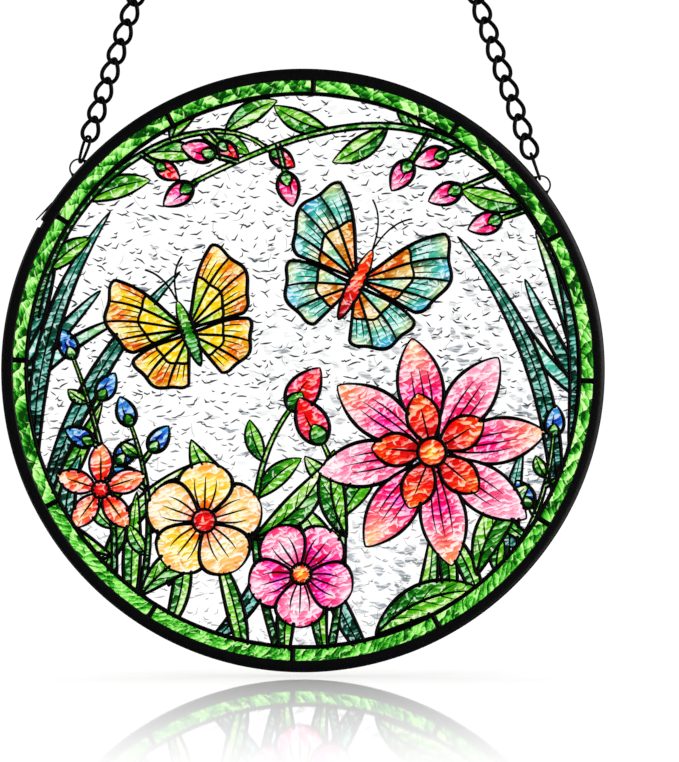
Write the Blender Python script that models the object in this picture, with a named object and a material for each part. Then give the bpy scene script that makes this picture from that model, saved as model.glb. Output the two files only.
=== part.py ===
"""Round stained glass suncatcher on two twisted-link chains.

Metres, +Z up, the front faces -Y. The origin is the point inside the hanging ring where a hook bears.
The disc hangs below it in the XZ plane, turned a little, because one chain is a link longer.
"""

import math

import bmesh
import bpy
from mathutils import Matrix, Vector
from mathutils.geometry import delaunay_2d_cdt

# Disc
DISC_RADIUS = 0.100
RIM_FACE = 0.0038
RIM_WEB = 0.0010
RIM_FLANGE = 0.0009
RIM_CHAMFER = 0.0007
BORDER_BAND = 0.0038
GLASS_THICKNESS = 0.0030
GLASS_GAP = 0.0003
DISC_SEGMENTS = 48

# Leading
LEAD_RISE = 0.0008
RING_LINE = 0.0014
BAR_LINE = 0.0018
LEAD_CORE = 0.0005
PICTURE_LINE = 0.0011
STRIP_COUNT = 12

# Chains
LINK_WIRE = 0.0014
LINK_PITCH = 0.0068
LINK_WIDTH = 0.0068
LINK_TWIST = math.radians(40)
LINK_ROLL = math.radians(24)
LINK_BITE = 0.0001
LINK_CORNERS = 6
LINK_SIDES = 4
LEFT_LINKS = 32
RIGHT_LINKS = 33

# End links, loops and the hanging ring
END_LINK_LENGTH = 0.0100
END_LINK_WIDTH = 0.0045
END_LINK_WIRE = 0.0010
END_LINK_CORNERS = 12
END_LINK_SIDES = 6
END_LINK_FOOT_TURN = math.radians(90)
LEFT_END_LINK_TOP_TURN = math.radians(60)
RIGHT_END_LINK_TOP_TURN = math.radians(84)
LOOP_RADIUS = 0.0030
LOOP_WIRE = 0.0006
LOOP_STEPS = 9
LOOP_SIDES = 6
LOOP_ANGLE = math.radians(50)
HANGER_INSIDE = 0.0070
HANGER_WIRE = 0.0012
HANGER_CORNERS = 24
HANGER_SIDES = 6
TOUCH_GAP = 0.0003

# Worked out from the sizes above
RIM_DEPTH = GLASS_THICKNESS + 2 * (GLASS_GAP + RIM_FLANGE)
LEAD_BACK = GLASS_THICKNESS / 2 + GLASS_GAP
LEAD_FRONT = LEAD_BACK + LEAD_RISE
RIM_INSIDE = DISC_RADIUS - RIM_FACE
RING_OUTSIDE = RIM_INSIDE - BORDER_BAND
FIELD_RADIUS = RING_OUTSIDE - RING_LINE
RING_MIDDLE = FIELD_RADIUS + RING_LINE / 2
PANE_RADIUS = RING_MIDDLE - LEAD_CORE / 2 - GLASS_GAP
STRIP_INSIDE = RING_MIDDLE + LEAD_CORE / 2 + GLASS_GAP
STRIP_OUTSIDE = DISC_RADIUS - RIM_WEB - GLASS_GAP
LINE_SHARE = PICTURE_LINE / FIELD_RADIUS


# Materials

def finish(name, color, roughness, metallic=0.0, see_through=0.0):
    """A plain material with the piece's own colour."""
    material = bpy.data.materials.new(name)
    material.use_nodes = True
    shader = material.node_tree.nodes["Principled BSDF"]
    shader.inputs["Base Color"].default_value = (*color, 1.0)
    shader.inputs["Roughness"].default_value = roughness
    shader.inputs["Metallic"].default_value = metallic
    shader.inputs["Transmission Weight"].default_value = see_through
    material.diffuse_color = (*color, 1.0)
    return material


# Solids

def place(name, mesh, material, parent=None):
    """Puts a mesh in the scene as one named piece, shaded smooth but for its true edges."""
    mesh.materials.append(material)
    mesh.shade_smooth()
    mesh.set_sharp_from_angle(angle=math.radians(40))
    piece = bpy.data.objects.new(name, mesh)
    piece.parent = parent
    bpy.context.scene.collection.objects.link(piece)
    return piece


def mesh_from(name, points, faces):
    """A mesh with its faces turned outwards."""
    mesh = bpy.data.meshes.new(name)
    mesh.from_pydata([tuple(p) for p in points], [], faces)
    form = bmesh.new()
    form.from_mesh(mesh)
    bmesh.ops.recalc_face_normals(form, faces=form.faces)
    form.to_mesh(mesh)
    form.free()
    return mesh


def turned_ring(name, profile, segments):
    """Sweeps a closed profile of (radius, depth) once round the disc's axis, +Y."""
    points = []
    for step in range(segments):
        angle = 2 * math.pi * step / segments
        for radius, depth in profile:
            points.append((radius * math.cos(angle), depth, radius * math.sin(angle)))
    faces = []
    count = len(profile)
    for step in range(segments):
        here = step * count
        there = (step + 1) % segments * count
        for i in range(count):
            j = (i + 1) % count
            faces.append((here + i, here + j, there + j, there + i))
    return mesh_from(name, points, faces)


def tube(name, frames, radius, sides, closed):
    """Wire of an even number of flats along frames of (point, across, outward)."""
    points = []
    for point, across, outward in frames:
        for side in range(sides):
            angle = 2 * math.pi * side / sides
            points.append(point + radius * (math.cos(angle) * outward + math.sin(angle) * across))
    faces = []
    spans = len(frames) if closed else len(frames) - 1
    for span in range(spans):
        here = span * sides
        there = (span + 1) % len(frames) * sides
        for i in range(sides):
            j = (i + 1) % sides
            faces.append((here + i, here + j, there + j, there + i))
    if not closed:
        faces.append(tuple(range(sides)))
        faces.append(tuple(range(len(points) - sides, len(points))))
    return mesh_from(name, points, faces)


# Disc pieces

def make_rim(parent, material):
    """The channel: a web outside and a flange on each face, its outer corners eased."""
    half = RIM_DEPTH / 2
    seat = DISC_RADIUS - RIM_WEB
    profile = [
        (DISC_RADIUS, -half + RIM_CHAMFER),
        (DISC_RADIUS - RIM_CHAMFER, -half),
        (RIM_INSIDE, -half),
        (RIM_INSIDE, -half + RIM_FLANGE),
        (seat, -half + RIM_FLANGE),
        (seat, half - RIM_FLANGE),
        (RIM_INSIDE, half - RIM_FLANGE),
        (RIM_INSIDE, half),
        (DISC_RADIUS - RIM_CHAMFER, half),
        (DISC_RADIUS, half - RIM_CHAMFER),
    ]
    return place("rim", turned_ring("rim", profile, DISC_SEGMENTS), material, parent)


def make_pane(parent, material):
    """The round pane that carries the picture."""
    form = bmesh.new()
    turn = Matrix.Rotation(math.radians(90), 4, "X")
    bmesh.ops.create_cone(
        form, cap_ends=True, segments=DISC_SEGMENTS, radius1=PANE_RADIUS, radius2=PANE_RADIUS,
        depth=GLASS_THICKNESS, matrix=turn,
    )
    mesh = bpy.data.meshes.new("picture_glass")
    form.to_mesh(mesh)
    form.free()
    return place("picture_glass", mesh, material, parent)


def make_border_strip(index, parent, material):
    """One curved strip between two spacer bars, its ends cut square to the bars."""
    name = f"border_glass_{index + 1:02d}"
    steps = DISC_SEGMENTS // STRIP_COUNT
    first = 2 * math.pi * index / STRIP_COUNT
    last = 2 * math.pi * (index + 1) / STRIP_COUNT
    shy = LEAD_CORE / 2 + GLASS_GAP
    half = GLASS_THICKNESS / 2
    points = []
    for step in range(steps + 1):
        for radius in (STRIP_INSIDE, STRIP_OUTSIDE):
            angle = first + (last - first) * step / steps
            if step == 0:
                angle += math.asin(shy / radius)
            if step == steps:
                angle -= math.asin(shy / radius)
            for depth in (-half, half):
                points.append((radius * math.cos(angle), depth, radius * math.sin(angle)))
    faces = [(0, 1, 3, 2)]
    for step in range(steps):
        a, b = 4 * step, 4 * step + 4
        for i, j in ((0, 1), (1, 3), (3, 2), (2, 0)):
            faces.append((a + i, a + j, b + j, b + i))
    end = 4 * steps
    faces.append((end, end + 1, end + 3, end + 2))
    return place(name, mesh_from(name, points, faces), material, parent)


# Picture: each shape is an outline and the cells inside its lead line, in shares of the field's radius

def point_at(centre, heading, distance):
    """The point at a distance from another in a heading in degrees."""
    angle = math.radians(heading)
    return Vector((centre[0] + distance * math.cos(angle), centre[1] + distance * math.sin(angle)))


def blade(base, heading, length, width, bend=0.0, fullness=0.8, shoulder=1.0, rib=False, steps=3):
    """A petal or leaf: a bent spine with a width that swells and closes along it.

    bend bows the spine sideways and shoulder moves the widest place, above 1 towards the tip.
    """
    start = Vector(base)
    tip = point_at(base, heading, length)
    side = Vector((tip.y - start.y, start.x - tip.x)).normalized()
    pull = (start + tip) / 2 - side * bend * length * 2

    def spine(t):
        here = start * (1 - t) ** 2 + pull * 2 * t * (1 - t) + tip * t ** 2
        ahead = ((pull - start) * (1 - t) + (tip - pull) * t).normalized()
        return here, ahead, Vector((-ahead.y, ahead.x))

    def half_width(t):
        return width / 2 * math.sin(math.pi * t ** shoulder) ** fullness if 0 < t < 1 else 0.0

    def closing(limit, end):
        """Where the half width comes down to a limit, but no nearer an end than half a line."""
        near, far = 0.5 ** (1 / shoulder), end
        for _ in range(20):
            middle = (near + far) / 2
            if half_width(middle) > limit:
                near = middle
            else:
                far = middle
        room = LINE_SHARE / 2 / length
        return min(max(near, room), 1 - room)

    def edge(t, sign, grow):
        here, _, normal = spine(t)
        return here + normal * sign * (half_width(t) + grow)

    def eased(low, high):
        return [low + (high - low) * (1 - math.cos(math.pi * i / steps)) / 2 for i in range(steps + 1)]

    shares = eased(0, 1)[1:-1]
    outline = [start - spine(0)[1] * LINE_SHARE]
    outline += [edge(t, 1, LINE_SHARE / 2) for t in shares]
    outline.append(tip + spine(1)[1] * LINE_SHARE)
    outline += [edge(t, -1, LINE_SHARE / 2) for t in shares[::-1]]
    cells = []
    keep = LINE_SHARE if rib else LINE_SHARE / 2
    if width / 2 > keep * 1.6:
        shares = eased(closing(keep, 0.0), closing(keep, 1.0))
        if rib:
            for sign in (1, -1):
                inner = [spine(t)[0] + spine(t)[2] * sign * LINE_SHARE / 2 for t in shares]
                cells.append(inner + [edge(t, sign, -LINE_SHARE / 2) for t in shares[-2:0:-1]])
        else:
            left = [edge(t, 1, -LINE_SHARE / 2) for t in shares[1:-1]]
            right = [edge(t, -1, -LINE_SHARE / 2) for t in shares[1:-1]]
            cells.append([spine(shares[0])[0]] + left + [spine(shares[-1])[0]] + right[::-1])
    return [(outline, cells)]


def along(pulls, t):
    """The point and heading in degrees at a share of a smooth curve through its pulls."""
    def place_on(share):
        row = [Vector(p) for p in pulls]
        while len(row) > 1:
            row = [a * (1 - share) + b * share for a, b in zip(row, row[1:])]
        return row[0]

    ahead = place_on(t + 0.01) - place_on(t - 0.01)
    return place_on(t), math.degrees(math.atan2(ahead.y, ahead.x))


def stem(pulls, steps=5):
    """A single line of lead along a curve."""
    left, right = [], []
    for i in range(steps + 1):
        here, heading = along(pulls, i / steps)
        left.append(point_at(here, heading + 90, LINE_SHARE / 2))
        right.append(point_at(here, heading - 90, LINE_SHARE / 2))
    return [(left + right[::-1], [])]


def plate(points):
    """A shape with corners that aren't sharp, its lead line half outside and half inside its edge."""
    rings = []
    count = len(points)
    for grow in (LINE_SHARE / 2, -LINE_SHARE / 2):
        ring = []
        for i, here in enumerate(points):
            before = (here - points[i - 1]).normalized()
            after = (points[(i + 1) % count] - here).normalized()
            out = (Vector((before.y, -before.x)) + Vector((after.y, -after.x))) / 2
            ring.append(here + out / out.length_squared * grow)
        rings.append(ring)
    return [(rings[0], [rings[1]])]


def eye(centre, radius, sides=8):
    """A round cell, such as a flower's middle."""
    return plate([point_at(centre, 360 * i / sides, radius) for i in range(sides)])


def whorl(centre, petals, start, hollow, length, width, **shape):
    """Petals set evenly round a middle."""
    shapes = []
    for i in range(petals):
        heading = start + 360 * i / petals
        shapes += blade(point_at(centre, heading, hollow), heading, length, width, **shape)
    return shapes


def blossom(centre, size, start):
    """A five-petalled blossom with a round middle."""
    petals = whorl(centre, 5, start, 0.02, size, size * 1.02, fullness=0.55, shoulder=1.35)
    return petals + eye(centre, size * 0.22)


def bud(base, heading, size):
    """A closed bud on its stalk's end."""
    return blade(base, heading, size, size * 0.6, fullness=0.75, shoulder=0.8)


def wing(root, heading, side, reach, spread, waist, scallops):
    """A wing from its root: a bowed fore edge, a scalloped margin that draws in, and a hind edge."""
    steps = 2 * scallops
    points = [root, point_at(root, heading - side * 4, reach * 0.55)]
    for i in range(steps + 1):
        share = i / steps
        dip = 0.93 if i % 2 else 1.0
        round_off = 0.10 * (2 * share - 1) ** 4
        turn = side * spread * share
        points.append(point_at(root, heading + turn, reach * (1 - waist * share - round_off) * dip))
    return plate(points if side > 0 else points[::-1])


def butterfly(centre, heading, span):
    """Two hind wings, two fore wings and a body, seen from above."""
    shapes = []
    for side in (1, -1):
        shapes += wing(Vector(centre), heading + side * 96, side, span * 0.44, 64, 0.16, 2)
        shapes += wing(point_at(centre, heading, span * 0.03), heading + side * 36, side, span * 0.62, 58, 0.30, 2)
    tail = point_at(centre, heading + 180, span * 0.22)
    return shapes + blade(tail, heading, span * 0.44, span * 0.09, fullness=0.6)


def picture_shapes():
    """The whole picture, lowest shape first."""
    shapes = []

    # Reeds
    for base, heading, length, bend in (
        ((-0.95, -0.22), 76, 0.84, 0.10), ((-0.88, -0.38), 62, 0.90, 0.08), ((-0.80, -0.52), 88, 0.72, -0.06),
        ((0.95, -0.10), 100, 0.74, -0.10), ((0.78, -0.14), 110, 0.74, -0.12),
    ):
        shapes += blade(base, heading, length, 0.08, bend, 0.7, 0.8)

    # The arching branch, with leaves and hanging buds
    branch = ((0.97, 0.30), (0.62, 1.16), (0.02, 0.92), (-0.44, 0.66))
    shapes += stem(branch, 7)
    for t, turn, length in ((0.16, 40, 0.24), (0.52, 36, 0.24), (0.66, -36, 0.22)):
        base, heading = along(branch, t)
        shapes += blade(base, heading + turn, length, 0.10, 0.06)
    for t, turn, stalk in ((0.24, 66, 0.14), (0.42, 74, 0.12), (0.78, 84, 0.10), (0.88, -40, 0.08), (0.98, 10, 0.02)):
        base, heading = along(branch, t)
        end = point_at(base, heading + turn, stalk)
        shapes += stem((base, end), 1)
        shapes += bud(end, heading + turn, 0.14)

    # Winged figures
    shapes += butterfly((0.16, 0.34), 66, 0.74)
    shapes += butterfly((-0.42, 0.10), 112, 0.66)

    # Stalks and leaves of the lower half
    tulip_stalks = (((-0.06, -1.0), (-0.26, -0.46), (-0.04, -0.14)), ((0.14, -1.0), (0.22, -0.50), (0.08, -0.26)))
    for pulls in tulip_stalks:
        shapes += stem(pulls, 5)
    sprays = (((-0.66, -0.76), (-0.66, -0.40), (-0.84, 0.02)), ((-0.56, -0.84), (-0.50, -0.50), (-0.62, -0.22)))
    for pulls in sprays:
        shapes += stem(pulls, 4)
    for base, heading, length, width, bend in (
        ((-0.67, -0.70), 150, 0.30, 0.12, 0.1), ((-0.46, -0.80), 100, 0.36, 0.13, -0.1),
        ((-0.17, -0.52), 132, 0.36, 0.13, 0.1), ((-0.16, -0.62), 48, 0.40, 0.13, -0.1),
        ((0.30, -0.95), 24, 0.42, 0.15, 0.12), ((0.66, -0.72), 62, 0.40, 0.14, 0.1),
        ((0.18, -0.60), 100, 0.34, 0.12, 0.1), ((-0.56, -0.84), 34, 0.36, 0.13, 0.1),
        ((0.60, -0.78), 150, 0.36, 0.13, -0.1),
    ):
        shapes += blade(base, heading, length, width, bend, rib=True)

    # Buds at the stalks' ends and up the sprays
    for pulls in tulip_stalks:
        base, heading = along(pulls, 0.99)
        shapes += bud(base, heading, 0.19)
    for pulls in sprays:
        for t, turn in ((0.60, 50), (0.99, 0)):
            base, heading = along(pulls, t)
            shapes += bud(base, heading + turn, 0.13)

    # Flowers
    bloom = (0.48, -0.28)
    shapes += whorl(bloom, 8, 12, 0.05, 0.38, 0.19, fullness=0.75, shoulder=1.05, steps=4)
    shapes += whorl(bloom, 5, 34, 0.03, 0.21, 0.14, fullness=0.7, shoulder=1.1)
    shapes += eye(bloom, 0.06)
    shapes += blossom((-0.34, -0.56), 0.21, 18)
    shapes += blossom((0.02, -0.74), 0.19, 54)
    return shapes


# Leading

def circle(radius, segments):
    """Points evenly round the disc's axis, in its own plane."""
    return [Vector(point_at((0, 0), 360 * i / segments, radius)) for i in range(segments)]


def bars(width, inside, outside):
    """The outlines of the spacer bars, each from one radius to another."""
    outlines = []
    for index in range(STRIP_COUNT):
        angle = 2 * math.pi * index / STRIP_COUNT
        along = Vector((math.cos(angle), math.sin(angle)))
        aside = Vector((-along.y, along.x)) * width / 2
        outlines.append([along * inside - aside, along * outside - aside,
                         along * outside + aside, along * inside + aside])
    return outlines


def leading_regions():
    """Triangles of the disc's plane, each with the layers of depth it fills."""
    outlines, strokes = [], []

    def lay(points, adds, takes=()):
        """Lays an outline over those before it: it adds layers there, and takes others away."""
        ring = [Vector(p) for p in points]
        twice_area = sum(a.cross(b) for a, b in zip(ring, ring[1:] + ring[:1]))
        outlines.append(ring if twice_area > 0 else ring[::-1])
        strokes.append((set(adds), set(takes)))

    cap_end = RIM_INSIDE - GLASS_GAP
    for outline in bars(BAR_LINE, RING_MIDDLE, cap_end):
        lay(outline, ("front", "back"))
    for outline in bars(LEAD_CORE, RING_MIDDLE, cap_end):
        lay(outline, ("core",))
    lay(circle(RING_OUTSIDE, DISC_SEGMENTS), ("front", "back"))
    lay(circle(RING_MIDDLE + LEAD_CORE / 2, DISC_SEGMENTS), ("core",))
    lay(circle(RING_MIDDLE - LEAD_CORE / 2, DISC_SEGMENTS), (), ("core",))
    field = len(outlines)
    lay(circle(FIELD_RADIUS, DISC_SEGMENTS), (), ("front", "back"))
    for outline, cells in picture_shapes():
        lay([p * FIELD_RADIUS for p in outline], ("front",))
        for cell in cells:
            lay([p * FIELD_RADIUS for p in cell], (), ("front",))

    # The triangulation works in millimetres, where its smallest step suits the lines
    points = [p * 1000 for outline in outlines for p in outline]
    faces, first = [], 0
    for outline in outlines:
        faces.append(list(range(first, first + len(outline))))
        first += len(outline)
    corners, _, triangles, _, _, sources = delaunay_2d_cdt(points, [], faces, 1, 1e-3, True)
    corners = [Vector(c) / 1000 for c in corners]

    regions = []
    for triangle, owners in zip(triangles, sources):
        layers = set()
        for owner in sorted(owners):
            if owner > field and field not in owners:
                continue
            adds, takes = strokes[owner]
            layers = layers - takes | adds
        regions.append((triangle, layers))
    return corners, regions


def layered_solid(name, corners, regions, levels):
    """Stands triangles up as one closed solid, each through the named levels of depth it fills."""
    depths = sorted({depth for pair in levels.values() for depth in pair})
    floors = list(zip(depths, depths[1:]))
    filled = {}
    for triangle, layers in regions:
        spans = [levels[layer] for layer in layers]
        stack = {f for f, (low, high) in enumerate(floors) if any(a <= low and high <= b for a, b in spans)}
        filled[tuple(triangle)] = stack

    beside = {}
    for triangle, stack in filled.items():
        for i in range(3):
            beside.setdefault((triangle[i], triangle[(i + 1) % 3]), stack)

    index, points, faces = {}, [], []

    def corner(c, level):
        if (c, level) not in index:
            index[c, level] = len(points)
            points.append((corners[c].x, depths[level], corners[c].y))
        return index[c, level]

    for triangle, stack in filled.items():
        for floor in stack:
            if floor - 1 not in stack:
                faces.append([corner(c, floor) for c in triangle])
            if floor + 1 not in stack:
                faces.append([corner(c, floor + 1) for c in reversed(triangle)])
            for i in range(3):
                a, b = triangle[i], triangle[(i + 1) % 3]
                if floor not in beside.get((b, a), ()):
                    faces.append([corner(b, floor), corner(a, floor), corner(a, floor + 1), corner(b, floor + 1)])
    return mesh_from(name, points, faces)


def make_leading(parent, material):
    """The soldered network: border ring, spacer bars and the picture's raised lines."""
    corners, regions = leading_regions()
    levels = {
        "front": (-LEAD_FRONT, -LEAD_BACK),
        "core": (-LEAD_BACK, LEAD_BACK),
        "back": (LEAD_BACK, LEAD_FRONT),
    }
    return place("leading", layered_solid("leading", corners, regions, levels), material, parent)


# Hanging gear

def run_length(links):
    """From the ring's centre to a loop's centre along one chain."""
    chain = links * LINK_PITCH
    end_link = END_LINK_LENGTH - 2 * END_LINK_WIRE
    return HANGER_INSIDE + chain + end_link + LOOP_RADIUS - LOOP_WIRE / 2 - 3 * TOUCH_GAP


def hang():
    """How the disc hangs: the drop from the ring's centre to the disc's centre, and the disc's turn."""
    reach = DISC_RADIUS + TOUCH_GAP
    left, right = run_length(LEFT_LINKS), run_length(RIGHT_LINKS)
    drop, turn = left, 0.0
    for _ in range(60):
        lean = reach * math.cos(turn) * math.cos(LOOP_ANGLE)
        drop = lean + math.sqrt(lean ** 2 + (left ** 2 + right ** 2) / 2 - reach ** 2)
        turn = -math.asin((right ** 2 - left ** 2) / (4 * reach * drop * math.sin(LOOP_ANGLE)))
    return drop, turn


def run_frame(side, drop, turn):
    """One chain's line: its matrix has the ring's centre as origin and runs down along its own -Z."""
    angle = math.pi / 2 - side * LOOP_ANGLE + turn
    reach = DISC_RADIUS + TOUCH_GAP
    loop_x, loop_z = reach * math.cos(angle), reach * math.sin(angle) - drop
    lean = math.atan2(loop_x, -loop_z)
    return Matrix.Translation((0, 0, -HANGER_INSIDE)) @ Matrix.Rotation(-lean, 4, "Y")


def section(wire, sides):
    """The radius of a wire's faceted section, and how far its inner face lies from its middle."""
    inner_share = math.cos(math.pi / sides) if sides % 2 else 1.0
    radius = wire / (1 + inner_share)
    return radius, radius * inner_share


def oval_frames(half_long, half_wide, roll, twist, corners):
    """Frames of a link's middle line, turned about its length by roll and wrung by twist each way.

    Its ends are flat in the middle, so two links bear on each other there only.
    """
    flat = 0.5 if corners % 4 == 0 else 0.0
    stretch = math.cos(math.pi / corners)
    line = []
    for i in range(corners):
        angle = 2 * math.pi * (i + flat) / corners
        across, up = half_wide * math.cos(angle), half_long * math.sin(angle) / stretch
        wrung = roll + twist * up / half_long
        line.append(Vector((across * math.cos(wrung), across * math.sin(wrung), up)))
    frames = []
    for i, point in enumerate(line):
        before = (point - line[i - 1]).normalized()
        after = (line[(i + 1) % corners] - point).normalized()
        along_wire = (before + after).normalized()
        outward = (point - along_wire * point.dot(along_wire)).normalized()
        frames.append((point, along_wire.cross(outward), outward / along_wire.dot(after)))
    return frames


def chain_half(links, side, first):
    """Every second link of a chain as separate shells in one mesh."""
    radius, inner = section(LINK_WIRE, LINK_SIDES)
    half_long = (LINK_PITCH - LINK_BITE) / 2 + inner
    half_wide = LINK_WIDTH / 2 - radius
    frames = oval_frames(half_long, half_wide, side * LINK_ROLL, side * LINK_TWIST, LINK_CORNERS)
    form = bmesh.new()
    for index in range(first, links, 2):
        link = tube("link", frames, radius, LINK_SIDES, True)
        middle = HANGER_INSIDE - TOUCH_GAP + (index + 0.5) * LINK_PITCH
        link.transform(Matrix.Translation((0, 0, -middle)))
        form.from_mesh(link)
        bpy.data.meshes.remove(link)
    mesh = bpy.data.meshes.new("links")
    form.to_mesh(mesh)
    form.free()
    return mesh


def make_chain(name, links, side, frame, material):
    """Links through one another, every link the same, fused where they bear."""
    others = bpy.data.objects.new(name + "_second_links", chain_half(links, side, 1))
    others.matrix_world = frame
    others.hide_render = True
    others.display_type = "WIRE"
    bpy.context.scene.collection.objects.link(others)
    chain = place(name, chain_half(links, side, 0), material)
    chain.matrix_world = frame
    join = chain.modifiers.new("fused", "BOOLEAN")
    join.operation = "UNION"
    join.object = others
    return chain


def make_end_link(name, links, roll, twist, frame, material):
    """The long link between a chain and its loop."""
    radius, inner = section(END_LINK_WIRE, END_LINK_SIDES)
    half_long = END_LINK_LENGTH / 2 - radius
    frames = oval_frames(half_long, END_LINK_WIDTH / 2 - radius, roll, twist, END_LINK_CORNERS)
    mesh = tube(name, frames, radius, END_LINK_SIDES, True)
    bearing = HANGER_INSIDE + links * LINK_PITCH - 2 * TOUCH_GAP
    mesh.transform(Matrix.Translation((0, 0, -(bearing + half_long - inner))))
    link = place(name, mesh, material)
    link.matrix_world = frame
    return link


def make_loop(name, side, disc, material):
    """A wire half-ring whose feet stand on the rim's outer face."""
    frames = []
    turn = Matrix.Rotation(side * LOOP_ANGLE, 4, "Y")
    base = DISC_RADIUS + TOUCH_GAP
    for i in range(LOOP_STEPS + 1):
        angle = math.pi * i / LOOP_STEPS
        outward = Vector((math.cos(angle), 0, math.sin(angle)))
        frames.append((outward * LOOP_RADIUS + Vector((0, 0, base)), Vector((0, 1, 0)), outward))
    mesh = tube(name, frames, LOOP_WIRE / 2, LOOP_SIDES, False)
    mesh.transform(turn)
    return place(name, mesh, material, disc)


def make_hanging_ring(material):
    """The round ring that a hook holds."""
    frames = []
    radius = HANGER_INSIDE + HANGER_WIRE / 2
    for i in range(HANGER_CORNERS):
        angle = 2 * math.pi * (i + 0.5) / HANGER_CORNERS
        outward = Vector((math.cos(angle), 0, math.sin(angle)))
        frames.append((outward * radius, Vector((0, 1, 0)), outward))
    ring = place("hanging_ring", tube("hanging_ring", frames, HANGER_WIRE / 2, HANGER_SIDES, True), material)
    ring.location = (0, 0, -HANGER_INSIDE)
    return ring


# Scene

def main():
    for item in list(bpy.data.objects):
        bpy.data.objects.remove(item)

    black = finish("black_metal", (0.012, 0.012, 0.013), 0.35, 0.9)
    lead = finish("black_lead", (0.01, 0.01, 0.01), 0.3, 0.6)
    green = finish("green_glass", (0.10, 0.55, 0.06), 0.08, 0.0, 1.0)
    clear = finish("clear_glass", (0.93, 0.95, 0.96), 0.05, 0.0, 1.0)

    drop, turn = hang()
    disc = bpy.data.objects.new("disc", None)
    disc.location = (0, 0, -HANGER_INSIDE - drop)
    disc.rotation_euler = (0, -turn, 0)
    bpy.context.scene.collection.objects.link(disc)

    make_rim(disc, black)
    make_leading(disc, lead)
    make_pane(disc, clear)
    for index in range(STRIP_COUNT):
        make_border_strip(index, disc, green)

    for name, side, links, top_turn in (
        ("left", -1, LEFT_LINKS, LEFT_END_LINK_TOP_TURN), ("right", 1, RIGHT_LINKS, RIGHT_END_LINK_TOP_TURN),
    ):
        frame = run_frame(side, drop, turn)
        make_chain(f"{name}_chain", links, side, frame, black)
        middle_turn = (END_LINK_FOOT_TURN + top_turn) / 2
        twist = (top_turn - END_LINK_FOOT_TURN) / 2
        make_end_link(f"{name}_end_link", links, side * middle_turn, side * twist, frame, black)
        make_loop(f"{name}_loop", side, disc, black)
    make_hanging_ring(black)


main()
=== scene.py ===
"""Dresses a round stained glass suncatcher that hangs on two twisted-link chains.

Metres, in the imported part's own frame: +Z up, the front faces -Y, and the origin is the point inside
the hanging ring where a hook bears. The disc's own plane has x to the right and z up from its centre.
"""

import logging
import math
from abc import ABC, abstractmethod
from collections.abc import Callable, Sequence
from dataclasses import dataclass, field
from enum import Enum

import bpy
import numpy as np
from mathutils import Matrix, Vector
from mathutils.geometry import delaunay_2d_cdt


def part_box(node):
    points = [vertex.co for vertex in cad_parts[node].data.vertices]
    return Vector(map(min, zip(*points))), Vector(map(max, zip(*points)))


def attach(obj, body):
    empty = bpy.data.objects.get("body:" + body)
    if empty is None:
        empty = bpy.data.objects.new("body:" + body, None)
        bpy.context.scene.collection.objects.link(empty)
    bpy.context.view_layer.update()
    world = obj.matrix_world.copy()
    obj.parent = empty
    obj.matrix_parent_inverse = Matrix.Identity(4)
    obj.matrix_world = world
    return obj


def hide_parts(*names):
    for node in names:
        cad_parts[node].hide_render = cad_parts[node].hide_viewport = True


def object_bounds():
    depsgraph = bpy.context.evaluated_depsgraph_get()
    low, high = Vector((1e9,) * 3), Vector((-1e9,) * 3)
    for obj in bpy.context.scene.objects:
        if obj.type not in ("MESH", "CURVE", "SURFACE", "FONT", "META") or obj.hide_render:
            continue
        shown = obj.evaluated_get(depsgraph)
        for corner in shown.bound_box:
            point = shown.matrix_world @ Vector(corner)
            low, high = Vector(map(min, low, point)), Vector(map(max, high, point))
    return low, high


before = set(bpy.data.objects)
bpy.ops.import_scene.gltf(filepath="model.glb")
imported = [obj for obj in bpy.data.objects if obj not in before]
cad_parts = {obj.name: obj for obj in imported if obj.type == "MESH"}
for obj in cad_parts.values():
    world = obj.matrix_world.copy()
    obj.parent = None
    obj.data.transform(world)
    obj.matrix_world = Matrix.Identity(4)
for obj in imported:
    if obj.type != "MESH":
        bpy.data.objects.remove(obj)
CAD_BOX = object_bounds()
LOG = logging.getLogger("suncatcher")

MM = 0.001
BODY = "root"
Tone = tuple[float, float, float]
Socket = bpy.types.NodeSocket
Place = Sequence[float]
Faces = list[tuple[int, ...]]
Form = tuple[np.ndarray, Faces]


def tone(red: int, green: int, blue: int) -> Tone:
    """A colour given in screen values of 0 to 255, as linear light.

    Args:
        red: Its red value.
        green: Its green value.
        blue: Its blue value.

    Returns:
        The three linear values.
    """
    values = np.array([red, green, blue]) / 255
    linear = np.where(values <= 0.04045, values / 12.92, ((values + 0.055) / 1.055) ** 2.4)
    return tuple(float(v) for v in linear)


LEAF_DEEP = tone(4, 76, 22)
LEAF = tone(44, 158, 38)
LEAF_LIGHT = tone(148, 220, 76)
LEAF_PALE = tone(234, 246, 190)
TEAL_DEEP = tone(0, 46, 38)
TEAL = tone(22, 122, 98)
AQUA = tone(140, 226, 210)
MAGENTA = tone(250, 6, 156)
PINK = tone(251, 92, 158)
BLUSH = tone(255, 228, 238)
PEACH = tone(252, 206, 148)
ORANGE = tone(249, 138, 50)
RED = tone(246, 26, 12)
WINE = tone(178, 6, 26)
YELLOW = tone(254, 230, 50)
CREAM = tone(254, 242, 190)
GOLD = tone(222, 158, 30)
BLUE = tone(6, 82, 204)
SKY = tone(120, 208, 246)


class Side(Enum):
    """The left or the right of the disc's upright axis, as seen from the front."""

    LEFT = -1
    RIGHT = 1


class Stroke(Enum):
    """The widths at which a raised line is drawn, in metres."""

    LEAD = 1.28 * MM
    FINE = 1.00 * MM
    VEIN = 0.66 * MM
    HAIR = 0.42 * MM


# Material nodes

@dataclass(frozen=True)
class Ease:
    """A smooth change from start to end while a value goes from low to high."""

    low: float
    high: float
    start: float = 0.0
    end: float = 1.0


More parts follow.
